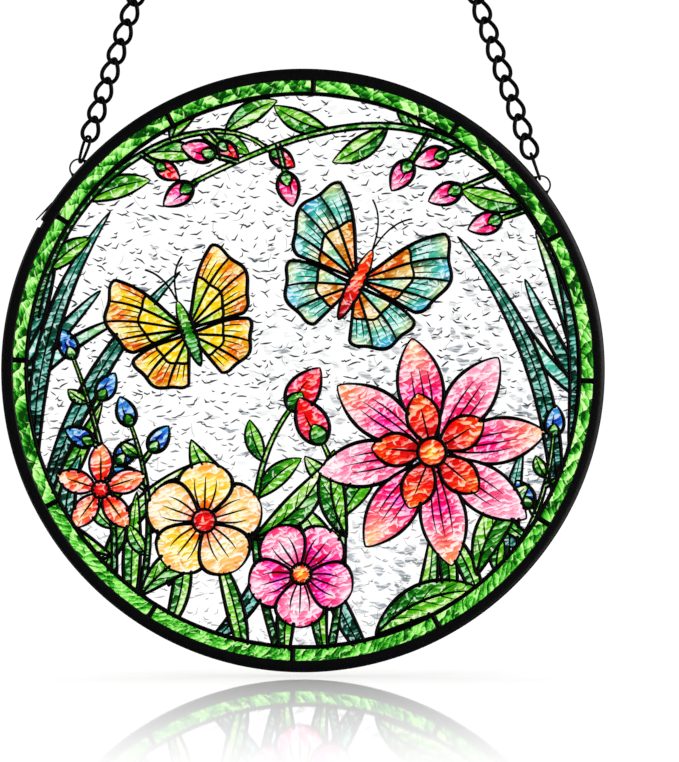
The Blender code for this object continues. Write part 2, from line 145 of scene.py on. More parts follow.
@dataclass(frozen=True)
class Facets:
    """Sharp-edged facets: their direction in radians, mean size in millimetres and shading across."""

    turn: float
    length: float
    width: float
    tilt: float


@dataclass(frozen=True)
class Dashes:
    """Short bent strokes scattered one to a cell, with sizes in millimetres and directions in radians.

    A long stroke has the length and width given, and a share of the cells, from 0 to 1, hold one. Their
    mean direction is lean, from which they sway. The two arms rise from the middle at the slope bend.
    The seed sets one scatter apart from another.
    """

    cell: float
    length: float
    width: float
    share: float
    seed: float
    lean: float
    sway: float
    bend: float


def set_stops(ramp: bpy.types.Node, stops: Sequence[tuple[float, Tone]]) -> None:
    """Gives a colour ramp its places and colours."""
    elements = ramp.color_ramp.elements
    while len(elements) < len(stops):
        elements.new(0.5)
    for element, (place, color) in zip(elements, stops):
        element.position = place
        element.color = (*color, 1.0)


class NodeBoard:
    """Sets up one material's nodes around its Principled shader."""

    def __init__(self, name: str) -> None:
        """Starts a material of that name."""
        self.material = bpy.data.materials.new(name)
        self.material.use_nodes = True
        self.tree = self.material.node_tree
        self.shader = self.tree.nodes["Principled BSDF"]

    def put(self, socket: Socket, value: object) -> None:
        """Links a socket to another, or gives it a value."""
        if isinstance(value, bpy.types.NodeSocket):
            self.tree.links.new(value, socket)
        else:
            socket.default_value = value

    def add(self, kind: str, inputs: dict[str | int, object] | None = None,
            **settings: object) -> bpy.types.Node:
        """Adds a node.

        Args:
            kind: The end of its type's name, after ShaderNode.
            inputs: Values or sockets for its inputs.
            settings: Its own properties.

        Returns:
            The node.
        """
        node = self.tree.nodes.new("ShaderNode" + kind)
        for key, value in settings.items():
            setattr(node, key, value)
        for key, value in (inputs or {}).items():
            self.put(node.inputs[key], value)
        return node

    def math(self, operation: str, *values: object, clamp: bool = False) -> Socket:
        """Adds a Math node on its values and returns its result."""
        return self.add("Math", dict(enumerate(values)), operation=operation, use_clamp=clamp).outputs[0]

    def vector_math(self, operation: str, *values: object) -> Socket:
        """Adds a Vector Math node on its values and returns its vector."""
        return self.add("VectorMath", dict(enumerate(values)), operation=operation).outputs[0]

    def blend(self, share: object, first: object, second: object) -> Socket:
        """Mixes two colours.

        Args:
            share: How much of the second shows.
            first: The first colour or its socket.
            second: The second.

        Returns:
            The mixed colour.
        """
        node = self.add("Mix", data_type="RGBA")
        colors = [s for s in node.inputs if s.type == "RGBA"]
        self.put(node.inputs[0], share)
        for socket, value in zip(colors, (first, second)):
            self.put(socket, (*value, 1.0) if isinstance(value, tuple) else value)
        return [s for s in node.outputs if s.type == "RGBA"][0]

    def scaled(self, value: object, factor: object) -> Socket:
        """A value times another."""
        return self.math("MULTIPLY", value, factor)

    def step(self, value: object, ease: Ease) -> Socket:
        """Eases from one number to another with a value."""
        node = self.add("MapRange", {"Value": value, "From Min": ease.low, "From Max": ease.high,
                                     "To Min": ease.start, "To Max": ease.end},
                        interpolation_type="SMOOTHSTEP")
        return node.outputs[0]

    def deeper(self, color: object, depth: object) -> Socket:
        """A colour as seen through so many layers of it."""
        return self.add("Gamma", {"Color": color, "Gamma": depth}).outputs[0]

    def noise(self, where: object, scale: float, detail: float = 2.0, twist: float = 0.0) -> Socket:
        """Adds a Noise texture at a scale and returns its value."""
        node = self.add("TexNoise", {"Vector": where, "Scale": scale, "Detail": detail, "Distortion": twist})
        return node.outputs[0]

    def places(self) -> Socket:
        """The object's own coordinates, in metres."""
        return self.add("TexCoord").outputs["Object"]

    def face_plane(self, middle: Vector) -> tuple[Socket, Socket]:
        """The place on the disc's face from its middle in millimetres, and 1 on its front."""
        away = self.vector_math("SUBTRACT", self.places(), tuple(middle))
        parts = self.add("SeparateXYZ", {"Vector": away})
        flat = self.add("CombineXYZ", {"X": parts.outputs["X"], "Y": parts.outputs["Z"]})
        where = self.vector_math("MULTIPLY", flat.outputs[0], (1 / MM, 1 / MM, 0.0))
        return where, self.math("LESS_THAN", parts.outputs["Y"], 0.0)

    def spread(self, where: Socket, scale: float, reach: float) -> Socket:
        """Pushes places about by soft noise, so that patterns on them lose their straightness."""
        push = self.add("TexNoise", {"Vector": where, "Scale": scale, "Detail": 2.0}).outputs[1]
        return self.vector_math("ADD", where, self.vector_math("MULTIPLY", push, (reach, reach * 0.7, 0.0)))

    def facets(self, where: Socket, look: Facets) -> Socket:
        """The brightness of facets at places in millimetres, mostly from 0 to 1."""
        turned = self.add("VectorRotate", {"Vector": where, "Angle": -look.turn}, rotation_type="Z_AXIS")
        grid = self.vector_math("MULTIPLY", turned.outputs[0], (1 / look.length, 1 / look.width, 0.0))
        cells = self.add("TexVoronoi", {"Vector": grid, "Scale": 1.0}, voronoi_dimensions="2D")
        away = self.vector_math("SUBTRACT", grid, cells.outputs["Position"])
        across = self.add("SeparateXYZ", {"Vector": away}).outputs["Y"]
        own = self.add("SeparateColor", {"Color": cells.outputs["Color"]}).outputs[0]
        return self.math("MULTIPLY_ADD", across, look.tilt, own)

    def dashes(self, where: Socket, look: Dashes) -> Socket:
        """1 on the strokes of a scatter and 0 elsewhere, at places in millimetres."""
        cell = (look.cell * 1.25, look.cell, 0.0)
        moved = self.vector_math("ADD", where, (look.seed * 37.0, look.seed * 19.0, 0.0))
        grid = self.vector_math("MULTIPLY", moved, (1 / cell[0], 1 / cell[1], 0.0))
        spots = self.add("TexVoronoi", {"Vector": grid, "Scale": 1.0, "Randomness": 1.0},
                         voronoi_dimensions="2D", feature="F1")
        away = self.vector_math("SUBTRACT", grid, spots.outputs["Position"])
        away = self.vector_math("MULTIPLY", away, cell)
        chance = self.add("SeparateColor", {"Color": spots.outputs["Color"]})
        draw, size, kind = chance.outputs[0], chance.outputs[1], chance.outputs[2]
        swing = self.math("MULTIPLY_ADD", draw, 2 * look.sway, look.lean - look.sway)
        turned = self.add("VectorRotate", {"Vector": away, "Angle": swing}, rotation_type="Z_AXIS")
        parts = self.add("SeparateXYZ", {"Vector": turned.outputs[0]})
        run = self.math("ABSOLUTE", parts.outputs["X"])
        slope = self.math("MULTIPLY_ADD", kind, 1.5 * look.bend, -0.3 * look.bend)
        off = self.math("ABSOLUTE", self.math("SUBTRACT", parts.outputs["Y"], self.scaled(run, slope)))
        reach = self.math("MULTIPLY_ADD", size, look.length * 0.35, look.length * 0.15)
        spent = self.math("POWER", self.math("DIVIDE", run, reach), 2.0)
        thick = self.scaled(self.math("SUBTRACT", 1.0, spent), look.width / 2)
        mark = self.math("DIVIDE", self.math("SUBTRACT", thick, off), look.width * 0.16, clamp=True)
        drawn = self.math("LESS_THAN", self.math("FRACT", self.scaled(draw, 7.31)), look.share)
        return self.scaled(mark, drawn)


# Finishes

@dataclass(frozen=True)
class BlackFinish:
    """A black coat on metal: next to no colour of its own, and a sheen that varies a little."""

    name: str
    color: Tone
    roughness: float
    specular: float
    grain: float
    relief: float
    dull: float = 0.6
    bright: float = 1.7

    def material(self) -> bpy.types.Material:
        """The coat as a material."""
        board = NodeBoard(self.name)
        grain = board.noise(board.places(), 1 / self.grain, 4.0)
        broad = board.noise(board.places(), 0.2 / self.grain, 2.0)
        dull, bright = (tuple(c * share for c in self.color) for share in (self.dull, self.bright))
        color = board.blend(board.step(broad, Ease(0.3, 0.7)), dull, bright)
        board.put(board.shader.inputs["Base Color"], color)
        rough = board.step(grain, Ease(0.25, 0.75, self.roughness * 0.8, self.roughness * 1.25))
        board.put(board.shader.inputs["Roughness"], rough)
        board.shader.inputs["Specular IOR Level"].default_value = self.specular
        bump = board.add("Bump", {"Strength": 0.25, "Distance": self.relief, "Height": grain})
        board.put(board.shader.inputs["Normal"], bump.outputs[0])
        return board.material


@dataclass(frozen=True)
class Glass:
    """What both glasses have in common: a smooth see-through body whose sheen stays faint."""

    roughness: float = 0.04
    gloss: float = 0.12
    refraction: float = 1.5

    def glaze(self, board: NodeBoard, color: Socket) -> None:
        """Makes a board's shader see-through glass of a colour."""
        board.put(board.shader.inputs["Base Color"], color)
        board.shader.inputs["Roughness"].default_value = self.roughness
        board.shader.inputs["Specular Tint"].default_value = (self.gloss, self.gloss, self.gloss, 1.0)
        board.shader.inputs["Transmission Weight"].default_value = 1.0
        board.shader.inputs["IOR"].default_value = self.refraction


@dataclass(frozen=True)
class HammeredGlass(Glass):
    """The picture's pane: clear hammered glass with painted grey glints and patches that stand for its
    relief's shade, and transparent paint in its cells.
    """

    name: str = "hammered_picture_glass"
    clear: Tone = tone(255, 255, 255)
    # Painted shade: the dark grey of the glints and the lighter grey of the patches stand for the hammered
    # relief's shade.
    painted_refraction_shade: Tone = tone(54, 60, 62)
    shadow: Tone = tone(144, 152, 160)
    bolder_upwards: Ease = Ease(-58.0, 0.0, 0.55)
    patchy: Ease = Ease(0.36, 0.56, 0.45)
    crowded_to_the_right: Ease = Ease(-30.0, 40.0, 0.10)
    crowded_below_the_top: Ease = Ease(42.0, 8.0, 0.25)
    hatching: Ease = Ease(0.40, 0.56, 0.25)
    # Scatters of painted shade on the clear glass.
    clouds: Dashes = Dashes(4.4, 8.5, 2.5, share=0.95, seed=9.0, lean=0.25, sway=0.7, bend=0.8)
    wedges: Dashes = Dashes(7.4, 8.0, 1.5, share=0.32, seed=1.0, lean=0.1, sway=0.4, bend=0.4)
    vees: Dashes = Dashes(3.5, 5.8, 0.70, share=0.86, seed=2.0, lean=0.0, sway=0.6, bend=0.58)
    ticks: Dashes = Dashes(3.3, 3.2, 0.50, share=0.5, seed=3.0, lean=-0.1, sway=1.0, bend=0.6)
    hairs: Dashes = Dashes(4.8, 8.0, 0.26, share=0.4, seed=4.0, lean=0.3, sway=1.4, bend=0.3)
    # The facets and pools make the paint partly uneven in itself and partly painted shade of the glass's
    # texture.
    paint_facets: Facets = Facets(turn=0.35, length=2.7, width=1.2, tilt=0.6)
    paint_depth: Ease = Ease(0.27, 0.75, 0.26, 2.3)
    # Painted shade along the glass's folds, and painted highlights where the paint goes pale.
    folds: Dashes = Dashes(2.6, 5.0, 0.62, share=0.8, seed=5.0, lean=0.3, sway=1.3, bend=0.5)
    painted_highlights: Dashes = Dashes(3.0, 5.4, 0.80, share=0.7, seed=6.0, lean=0.5, sway=1.3, bend=0.4)

    def ground(self, board: NodeBoard, where: Socket, front: Socket) -> Socket:
        """The clear glass, with painted shade of its hammered relief on its front: dark glints, hatched
        wedges and soft grey patches.
        """
        parts = board.add("SeparateXYZ", {"Vector": where})
        bold = board.step(parts.outputs["Y"], self.bolder_upwards)
        crowd = board.step(board.noise(where, 0.035, 1.0), self.patchy)
        crowd = board.scaled(crowd, board.step(parts.outputs["X"], self.crowded_to_the_right))
        crowd = board.scaled(crowd, board.step(parts.outputs["Y"], self.crowded_below_the_top))
        bent = board.spread(where, 0.11, 3.0)
        hatch = board.noise(board.vector_math("MULTIPLY", bent, (0.30, 1.5, 0.0)), 1.0, 2.0)
        hatch = board.step(hatch, self.hatching)
        # Painted shade of the hammered relief, bolder towards the top and crowded to the right.
        marks = (
            (board.scaled(board.dashes(bent, self.clouds), board.scaled(crowd, hatch)), self.shadow),
            (board.scaled(board.dashes(bent, self.wedges), board.scaled(bold, hatch)), self.shadow),
            (board.scaled(board.dashes(bent, self.vees), bold), self.painted_refraction_shade),
            (board.scaled(board.dashes(where, self.ticks), bold), self.painted_refraction_shade),
            (board.scaled(board.dashes(bent, self.hairs), 0.6), self.painted_refraction_shade),
        )
        color = self.clear
        for strength, ink in marks:
            color = board.blend(strength, color, ink)
        return board.blend(front, self.clear, board.deeper(color, 2.0))

    def painted(self, board: NodeBoard, where: Socket, paint: Socket) -> Socket:
        """The paint, deeper and paler in facets and pools, partly its own uneven colour and partly painted
        shade of the glass's texture, with painted fold shade and painted highlights.
        """
        bent = board.spread(where, 0.22, 3.4)
        facets = board.scaled(board.facets(bent, self.paint_facets), 0.5)
        pools = board.scaled(board.noise(where, 0.30, 3.0, 1.2), 0.5)
        color = board.deeper(paint, board.step(board.math("ADD", facets, pools), self.paint_depth))
        # Painted shade: the paint taken towards black along the folds.
        deep = board.blend(0.3, board.deeper(paint, 2.6), (0.0, 0.0, 0.0))
        color = board.blend(board.scaled(board.dashes(bent, self.folds), 0.6), color, deep)
        # Painted highlight: the paint taken towards clear white.
        thin = board.blend(0.35, board.deeper(paint, 0.28), self.clear)
        return board.blend(board.scaled(board.dashes(bent, self.painted_highlights), 0.8), color, thin)

    def material(self, middle: Vector) -> bpy.types.Material:
        """The pane's glass and paint as a material, for a disc with its middle there."""
        board = NodeBoard(self.name)
        where, front = board.face_plane(middle)
        paint = board.add("Attribute", attribute_name=TINT)
        painted = self.painted(board, where, paint.outputs["Color"])
        self.glaze(board, board.blend(paint.outputs["Alpha"], self.ground(board, where, front), painted))
        ripple = board.noise(where, 1.3, 2.0)
        bump = board.add("Bump", {"Strength": 0.2, "Distance": 0.1 * MM, "Height": ripple})
        board.put(board.shader.inputs["Normal"], bump.outputs[0])
        return board.material


@dataclass(frozen=True)
class CrinkledGlass(Glass):
    """The border's green glass: sharp-edged facets of light and dark green across each strip, partly the
    glass's own uneven colour and partly painted light and shade of its crinkles.
    """

    roughness: float = 0.05
    name: str = "crinkled_green_glass"
    pale: Tone = tone(216, 255, 172)
    light: Tone = tone(140, 240, 98)
    middle: Tone = tone(74, 192, 44)
    deep: Tone = tone(20, 138, 12)
    dark: Tone = tone(0, 60, 0)
    # The facets' brightness and their shading across are partly the glass's own colour and partly painted
    # light and shade of its crinkles.
    broad: Facets = Facets(turn=0.55, length=5.0, width=2.1, tilt=0.5)
    small: Facets = Facets(turn=-0.75, length=3.6, width=1.3, tilt=0.6)
    # Painted shade in the creases and painted highlights, as strokes.
    painted_crease_shade: Dashes = Dashes(2.4, 5.4, 0.5, share=0.6, seed=7.0, lean=0.5, sway=0.6, bend=0.2)
    painted_highlights: Dashes = Dashes(2.9, 4.6, 0.5, share=0.55, seed=8.0, lean=0.6, sway=0.7, bend=0.2)

    def material(self) -> bpy.types.Material:
        """The border's glass as a material, with finer and softer folds along the foot of the disc."""
        board = NodeBoard(self.name)
        flow = board.add("Attribute", attribute_name=FLOW).outputs["Vector"]
        fine = board.add("SeparateXYZ", {"Vector": flow}).outputs["Z"]
        where = board.vector_math("MULTIPLY", flow, (1.0, 1.0, 0.0))
        bent = board.spread(where, 0.20, 3.4)
        small = board.facets(bent, self.small)
        broad = board.scaled(board.facets(bent, self.broad), 0.62)
        swirls = board.scaled(board.noise(where, 0.42, 3.0, 2.6), 0.62)
        upper = board.math("ADD", broad, board.scaled(small, 0.38))
        lower = board.math("ADD", swirls, board.scaled(small, 0.44))
        change = board.scaled(fine, board.math("SUBTRACT", lower, upper))
        ramp = board.add("ValToRGB", {"Fac": board.math("ADD", upper, change)})
        set_stops(ramp, ((0.25, self.dark), (0.38, self.deep), (0.51, self.middle), (0.66, self.light),
                         (0.86, self.pale)))
        # Painted shade in the creases, taken towards the dark green, and painted highlights, taken towards
        # the pale green.
        painted_crease_shade = board.scaled(board.dashes(bent, self.painted_crease_shade), 0.7)
        painted_highlights = board.scaled(board.dashes(bent, self.painted_highlights), 0.7)
        color = board.blend(painted_crease_shade, ramp.outputs[0], self.dark)
        self.glaze(board, board.blend(painted_highlights, color, self.pale))
        return board.material


@dataclass(frozen=True)
class StudioFloor:
    """A white floor whose polish dies away from the disc."""

    name: str = "pale_floor"
    color: Tone = tone(250, 250, 250)
    polish: float = 0.57
    fades_over: float = 0.95

    def material(self) -> bpy.types.Material:
        """The floor as a material: matt white under a mirror that fades towards the front."""
        board = NodeBoard(self.name)
        parts = board.add("SeparateXYZ", {"Vector": board.places()})
        mirror = board.add("BsdfGlossy", {"Color": (1.0, 1.0, 1.0, 1.0), "Roughness": 0.02})
        far = board.math("ABSOLUTE", parts.outputs["Y"])
        share = board.scaled(board.step(far, Ease(0.0, self.fades_over, 1.0, 0.0)), self.polish)
        speckle = board.noise(board.places(), 40.0, 3.0)
        bright = tuple(min(1.0, c * 1.01) for c in self.color)
        board.put(board.shader.inputs["Base Color"], board.blend(speckle, self.color, bright))
        board.shader.inputs["Roughness"].default_value = 0.9
        board.shader.inputs["Specular IOR Level"].default_value = 0.0
        mixed = board.add("MixShader", {0: share, 1: board.shader.outputs[0], 2: mirror.outputs[0]})
        board.put(board.tree.nodes["Material Output"].inputs["Surface"], mixed.outputs[0])
        return board.material


TINT = "tint"
FLOW = "flow"
RIM_BLACK = BlackFinish("satin_black_rim", tone(1, 1, 2), 0.30, 0.03, 0.6 * MM, 0.02 * MM)
LINE_BLACK = BlackFinish("glossy_black_lines", tone(1, 1, 1), 0.32, 0.01, 0.9 * MM, 0.03 * MM)
CHAIN_BLACK = BlackFinish("black_chain_paint", tone(1, 1, 1), 0.38, 0.015, 0.4 * MM, 0.02 * MM)


# Meshes

@dataclass
class Body:
    """Points and faces gathered for one piece."""

    points: list[np.ndarray] = field(default_factory=list)
    faces: Faces = field(default_factory=list)
    count: int = 0

    def take(self, points: np.ndarray, faces: Sequence[Sequence[int]]) -> None:
        """Adds a closed form.

        Args:
            points: Its points.
            faces: Its faces, counted from its own first point.
        """
        self.points.append(np.asarray(points, float))
        self.faces += [tuple(int(i) + self.count for i in face) for face in faces]
        self.count += len(points)

    def all_points(self) -> np.ndarray:
        """Every point in one array."""
        return np.concatenate(self.points)


def rows_of_quads(rows: int, columns: int, rows_close: bool, columns_close: bool) -> Faces:
    """Quads over a grid of points that is stored row after row.

    Args:
        rows: How many rows there are.
        columns: How many points a row has.
        rows_close: Whether the last row joins the first.
        columns_close: Whether a row's last point joins its first.

    Returns:
        The quads.
    """
    quads = []
    for row in range(rows if rows_close else rows - 1):
        here, there = row * columns, (row + 1) % rows * columns
        for i in range(columns if columns_close else columns - 1):
            j = (i + 1) % columns
            quads.append((here + i, here + j, there + j, there + i))
    return quads


def tube_faces(rows: int, size: int, closed: bool) -> Faces:
    """The faces of a tube of so many closed rows of one size, with ends unless it closes on itself."""
    faces = rows_of_quads(rows, size, closed, True)
    if not closed:
        faces += [tuple(range(size))[::-1], tuple(range((rows - 1) * size, rows * size))]
    return faces


def sweep(frames: Sequence[tuple[np.ndarray, np.ndarray, np.ndarray]], radii: Sequence[float], sides: int,
          closed: bool) -> Form:
    """Round wire along a row of frames.

    Args:
        frames: Each a point and two unit vectors across the wire.
        radii: The wire's radius at each.
        sides: How many points its section has.
        closed: Whether its end joins its start.

    Returns:
        Its points and faces.
    """
    turns = 2 * np.pi * np.arange(sides) / sides
    points = [at + radius * (math.cos(a) * out + math.sin(a) * across)
              for (at, out, across), radius in zip(frames, radii) for a in turns]
    return np.array(points), tube_faces(len(frames), sides, closed)


def turned(profile: np.ndarray, angles: np.ndarray) -> Form:
    """Turns a closed profile once round the disc's axis.

    Args:
        profile: Its points as (radius, depth).
        angles: The directions at which it is set.

    Returns:
        Its points as (x, depth, z) and its faces.
    """
    radius, depth = profile[:, 0], profile[:, 1]
    points = [np.column_stack([radius * math.cos(a), depth, radius * math.sin(a)]) for a in angles]
    return np.concatenate(points), rows_of_quads(len(angles), len(profile), True, True)


def make_piece(name: str, body: Body, material: bpy.types.Material, replaced: Sequence[str],
               sharp: float = 50.0) -> bpy.types.Object:
    """Makes one visible piece of the object.

    Args:
        name: Its name.
        body: Its points and faces in the frame.
        material: Its finish.
        replaced: The solids it stands for.
        sharp: The angle in degrees from which an edge is crisp.

    Returns:
        The piece.
    """
    mesh = bpy.data.meshes.new(name)
    mesh.from_pydata(body.all_points().tolist(), [], body.faces)
    mesh.materials.append(material)
    mesh.shade_smooth()
    mesh.set_sharp_from_angle(angle=math.radians(sharp))
    piece = bpy.data.objects.new(name, mesh)
    bpy.context.scene.collection.objects.link(piece)
    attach(piece, BODY)
    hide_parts(*replaced)
    return piece


# The disc

@dataclass(frozen=True)
class Disc:
    """The disc's place in the frame, and its sizes."""

    centre: Vector
    turn: float
    radius: float = 100.0 * MM
    rim_face: float = 3.8 * MM
    rim_depth: float = 5.4 * MM
    border_band: float = 3.8 * MM
    ring_line: float = 1.4 * MM
    bar_line: float = 1.8 * MM
    core: float = 0.5 * MM
    glass: float = 3.0 * MM
    clearance: float = 0.3 * MM
    line_top: float = 2.6 * MM
    strips: int = 12

    @classmethod
    def from_frame(cls) -> "Disc":
        """Reads the disc's centre from the rim and its turn from the two loops."""
        low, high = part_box("rim")
        left, right = (np.mean([v.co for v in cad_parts[n].data.vertices], axis=0)
                       for n in ("left_loop", "right_loop"))
        return cls((low + high) / 2, math.atan2(right[2] - left[2], right[0] - left[0]))

    @property
    def rim_inside(self) -> float:
        """The radius at which the rim's face ends."""
        return self.radius - self.rim_face

    @property
    def ring_middle(self) -> float:
        """The radius of the middle of the border ring's line."""
        return self.rim_inside - self.border_band - self.ring_line / 2

    @property
    def field(self) -> float:
        """The radius of the picture inside the border ring."""
        return self.ring_middle - self.ring_line / 2

    def stand(self, body: Body) -> Body:
        """Moves a body from the disc's own plane to its place in the frame."""
        matrix = np.array(Matrix.Rotation(-self.turn, 3, "Y"))
        body.points = [p @ matrix.T + np.array(self.centre) for p in body.points]
        return body


@dataclass(frozen=True)
class Rim:
    """The black channel round the disc, with the joint where its two ends meet."""

    disc: Disc
    corner_width: float = 2.2 * MM
    corner_depth: float = 0.8 * MM
    lip: float = 0.35 * MM
    web: float = 1.0 * MM
    flange: float = 0.9 * MM
    steps: int = 480
    joint: float = math.radians(152.9)
    gap_length: float = 2.5 * MM
    gap_depth: float = 0.75 * MM
    gap_edge: float = 0.12 * MM
    spring: float = 0.35 * MM
    spring_length: float = 4.0 * MM
    sliver_root: float = math.radians(148.3)
    sliver_tip: float = math.radians(152.7)
    sliver_stands_off: float = 1.6 * MM
    sliver_radius: float = 0.36 * MM
    sliver_flatness: float = 2.4

    def profile(self) -> np.ndarray:
        """The channel's section as (radius, depth), rounded outside and at its lips."""
        disc, half = self.disc, self.disc.rim_depth / 2
        inner, seat = disc.rim_inside, disc.radius - self.web
        quarter = [(math.cos(a), math.sin(a)) for a in np.linspace(0, math.pi / 2, 9)]
        front = [(disc.radius - self.corner_width * (1 - cos), self.corner_depth * (1 - sin) - half)
                 for cos, sin in quarter]
        front += [(inner + self.lip * (1 - sin), self.lip * (1 - cos) - half) for cos, sin in quarter[::2]]
        front += [(inner, -disc.glass / 2), (inner + self.lip, -disc.glass / 2)]
        front += [(inner + self.lip, self.flange - half), (seat, self.flange - half)]
        back = [(r, -d) for r, d in front[::-1]]
        return np.array(front + back)

    def joint_shift(self, run: np.ndarray) -> np.ndarray:
        """How far the outer edge stands out at distances past the joint, with a gap and a sprung end."""
        half = self.gap_length / 2
        gap = (np.tanh((run + half) / self.gap_edge) - np.tanh((run - half) / self.gap_edge)) / 2
        lift = self.spring * np.exp(np.minimum(run + half, 0) / self.spring_length) * (run < -half)
        return lift - self.gap_depth * gap

    def build(self) -> list[bpy.types.Object]:
        """Turns the channel, opens its joint and leaves a sliver of its upper end proud."""
        angles = np.linspace(0, 2 * math.pi, self.steps, endpoint=False)
        near = self.joint + np.linspace(-1, 1, 81) * 2.4 * MM / self.disc.radius
        angles = np.unique(np.concatenate([angles, near]))
        points, faces = turned(self.profile(), angles)
        around = np.arctan2(points[:, 2], points[:, 0])
        past = (around - self.joint + math.pi) % (2 * math.pi) - math.pi
        radius = np.hypot(points[:, 0], points[:, 2])
        outer = np.clip((radius - self.disc.radius + self.corner_width) / self.corner_width, 0, 1)
        shifted = (radius + outer * self.joint_shift(past * self.disc.radius)) / radius
        points[:, 0] *= shifted
        points[:, 2] *= shifted
        body = Body()
        body.take(points, faces)
        body.take(*self.sliver())
        material = RIM_BLACK.material()
        return [make_piece("rim_channel", self.disc.stand(body), material, ["rim"])]

    def sliver(self) -> Form:
        """The thin straight tail of the strip that stands off the rim at its joint."""
        ends = []
        for angle, reach in ((self.sliver_root, -0.1 * MM), (self.sliver_tip, self.sliver_stands_off)):
            ends.append(np.array([math.cos(angle), 0, math.sin(angle)]) * (self.disc.radius + reach))
        ahead = (ends[1] - ends[0]) / np.linalg.norm(ends[1] - ends[0])
        out = np.array([-ahead[2], 0, ahead[0]])
        wide = np.array([0, self.sliver_flatness, 0])
        shares = np.linspace(0, 1, 12)
        frames = [(ends[0] + (ends[1] - ends[0]) * share, out, wide) for share in shares]
        radii = [self.sliver_radius * (1 - 0.4 * share) for share in shares]
        return sweep(frames, radii, 10, False)


@dataclass(frozen=True)
class BorderGlass:
    """The twelve curved strips of crinkled green glass."""

    disc: Disc
    crumple: float = 0.09 * MM
    steps_along: int = 150
    steps_across: int = 18
    rim_web: float = 1.0 * MM
    fine_from: float = 0.45
    fine_over: float = 0.3

    def surface(self, run: np.ndarray, radius: np.ndarray, seed: float) -> np.ndarray:
        """How far the crumpled surface stands up, from folds that cross the strip aslant."""
        u, v = run / MM + 53 * seed, radius / MM
        bent = u + 1.7 * np.sin(0.31 * u + 1.3 * v) + 0.9 * np.sin(0.83 * u - 0.7 * v + seed)
        folds = np.abs(np.sin(0.62 * bent + 0.8 * v))
        small = np.abs(np.sin(1.07 * bent - 1.5 * v + 2 * seed))
        return self.crumple * (0.55 * folds + 0.45 * small)

    def strip(self, index: int) -> tuple[Body, np.ndarray]:
        """One strip.

        Args:
            index: Its number from the right, counter-clockwise.

        Returns:
            Its body and, for each point, its place along and across the strip in millimetres, and how
            fine the folds are there, from 0 to 1 along the foot of the disc.
        """
        disc = self.disc
        shy = disc.core / 2 + disc.clearance
        inner, outer = disc.ring_middle + shy, disc.radius - self.rim_web - disc.clearance
        first, last = (2 * math.pi * (index + i) / disc.strips for i in (0, 1))
        along = np.linspace(0, 1, self.steps_along + 1)
        across = np.linspace(0, 1, self.steps_across + 1)
        share, step = np.meshgrid(along, across, indexing="ij")
        radius = inner + (outer - inner) * step
        angle = first + (last - first) * share + np.arcsin(shy / radius) * (1 - 2 * share)
        run = angle * disc.radius
        fade = np.clip(np.minimum(share, 1 - share) * 40, 0, 1)
        fade = fade * np.clip(np.minimum(step, 1 - step) * 6, 0, 1)
        relief = self.surface(run, radius, index) * fade
        layers, flows = [], []
        for side in (-1, 1):
            depth = side * (disc.glass / 2 - self.crumple + relief)
            layers.append(np.column_stack([(radius * np.cos(angle)).ravel(), depth.ravel(),
                                           (radius * np.sin(angle)).ravel()]))
            low = np.clip((-np.sin(angle) - self.fine_from) / self.fine_over, 0, 1)
            flows.append(np.column_stack([(run / MM).ravel() + 40 * index, (radius / MM).ravel(),
                                          low.ravel()]))
        rows, columns = radius.shape
        top = rows_of_quads(rows, columns, False, False)
        under = [tuple(i + rows * columns for i in face[::-1]) for face in top]
        edge = [i for i in range(columns)] + [r * columns + columns - 1 for r in range(1, rows)]
        edge += [(rows - 1) * columns + c for c in range(columns - 2, -1, -1)]
        edge += [r * columns for r in range(rows - 2, 0, -1)]
        wall = [(b, a, a + rows * columns, b + rows * columns) for a, b in zip(edge, edge[1:] + edge[:1])]
        body = Body()
        body.take(np.concatenate(layers), top + under + wall)
        return body, np.concatenate(flows)

    def build(self) -> list[bpy.types.Object]:
        """Makes the twelve strips."""
        material = CrinkledGlass().material()
        pieces = []
        for index in range(self.disc.strips):
            body, flow = self.strip(index)
            number = f"{index + 1:02d}"
            piece = make_piece(f"green_strip_{number}", self.disc.stand(body), material,
                               [f"border_glass_{number}"])
            places = piece.data.attributes.new(FLOW, "FLOAT_VECTOR", "POINT")
            places.data.foreach_set("vector", flow.ravel())
            pieces.append(piece)
        return pieces


# The picture, in shares of its field's radius

Spread = Callable[[np.ndarray], tuple[np.ndarray, np.ndarray]]
Shoot = tuple[float, float, float]


def point_at(centre: Place, heading: float, distance: float) -> np.ndarray:
    """The point at a distance from another, in a heading in degrees."""
    angle = math.radians(heading)
    return np.array(centre, float) + distance * np.array([math.cos(angle), math.sin(angle)])


def circle(steps: int) -> np.ndarray:
    """Points spaced evenly round a circle of radius 1."""
    turns = np.linspace(0, 2 * np.pi, steps, endpoint=False)
    return np.column_stack([np.cos(turns), np.sin(turns)])


def unit(ahead: np.ndarray) -> np.ndarray:
    """Each of a row of directions at length 1."""
    return ahead / np.maximum(np.linalg.norm(ahead, axis=1), 1e-9)[:, None]


def square_to(ahead: np.ndarray) -> np.ndarray:
    """Directions turned a quarter to the left."""
    return np.column_stack([-ahead[:, 1], ahead[:, 0]])


def nearest(points: np.ndarray, line: np.ndarray) -> tuple[np.ndarray, np.ndarray]:
    """For each point, the number of a line's nearest point and the way from that to it."""
    away = points[:, None, :] - line[None, :, :]
    near = np.argmin(np.sum(away ** 2, axis=2), axis=1)
    return near, away[np.arange(len(points)), near]


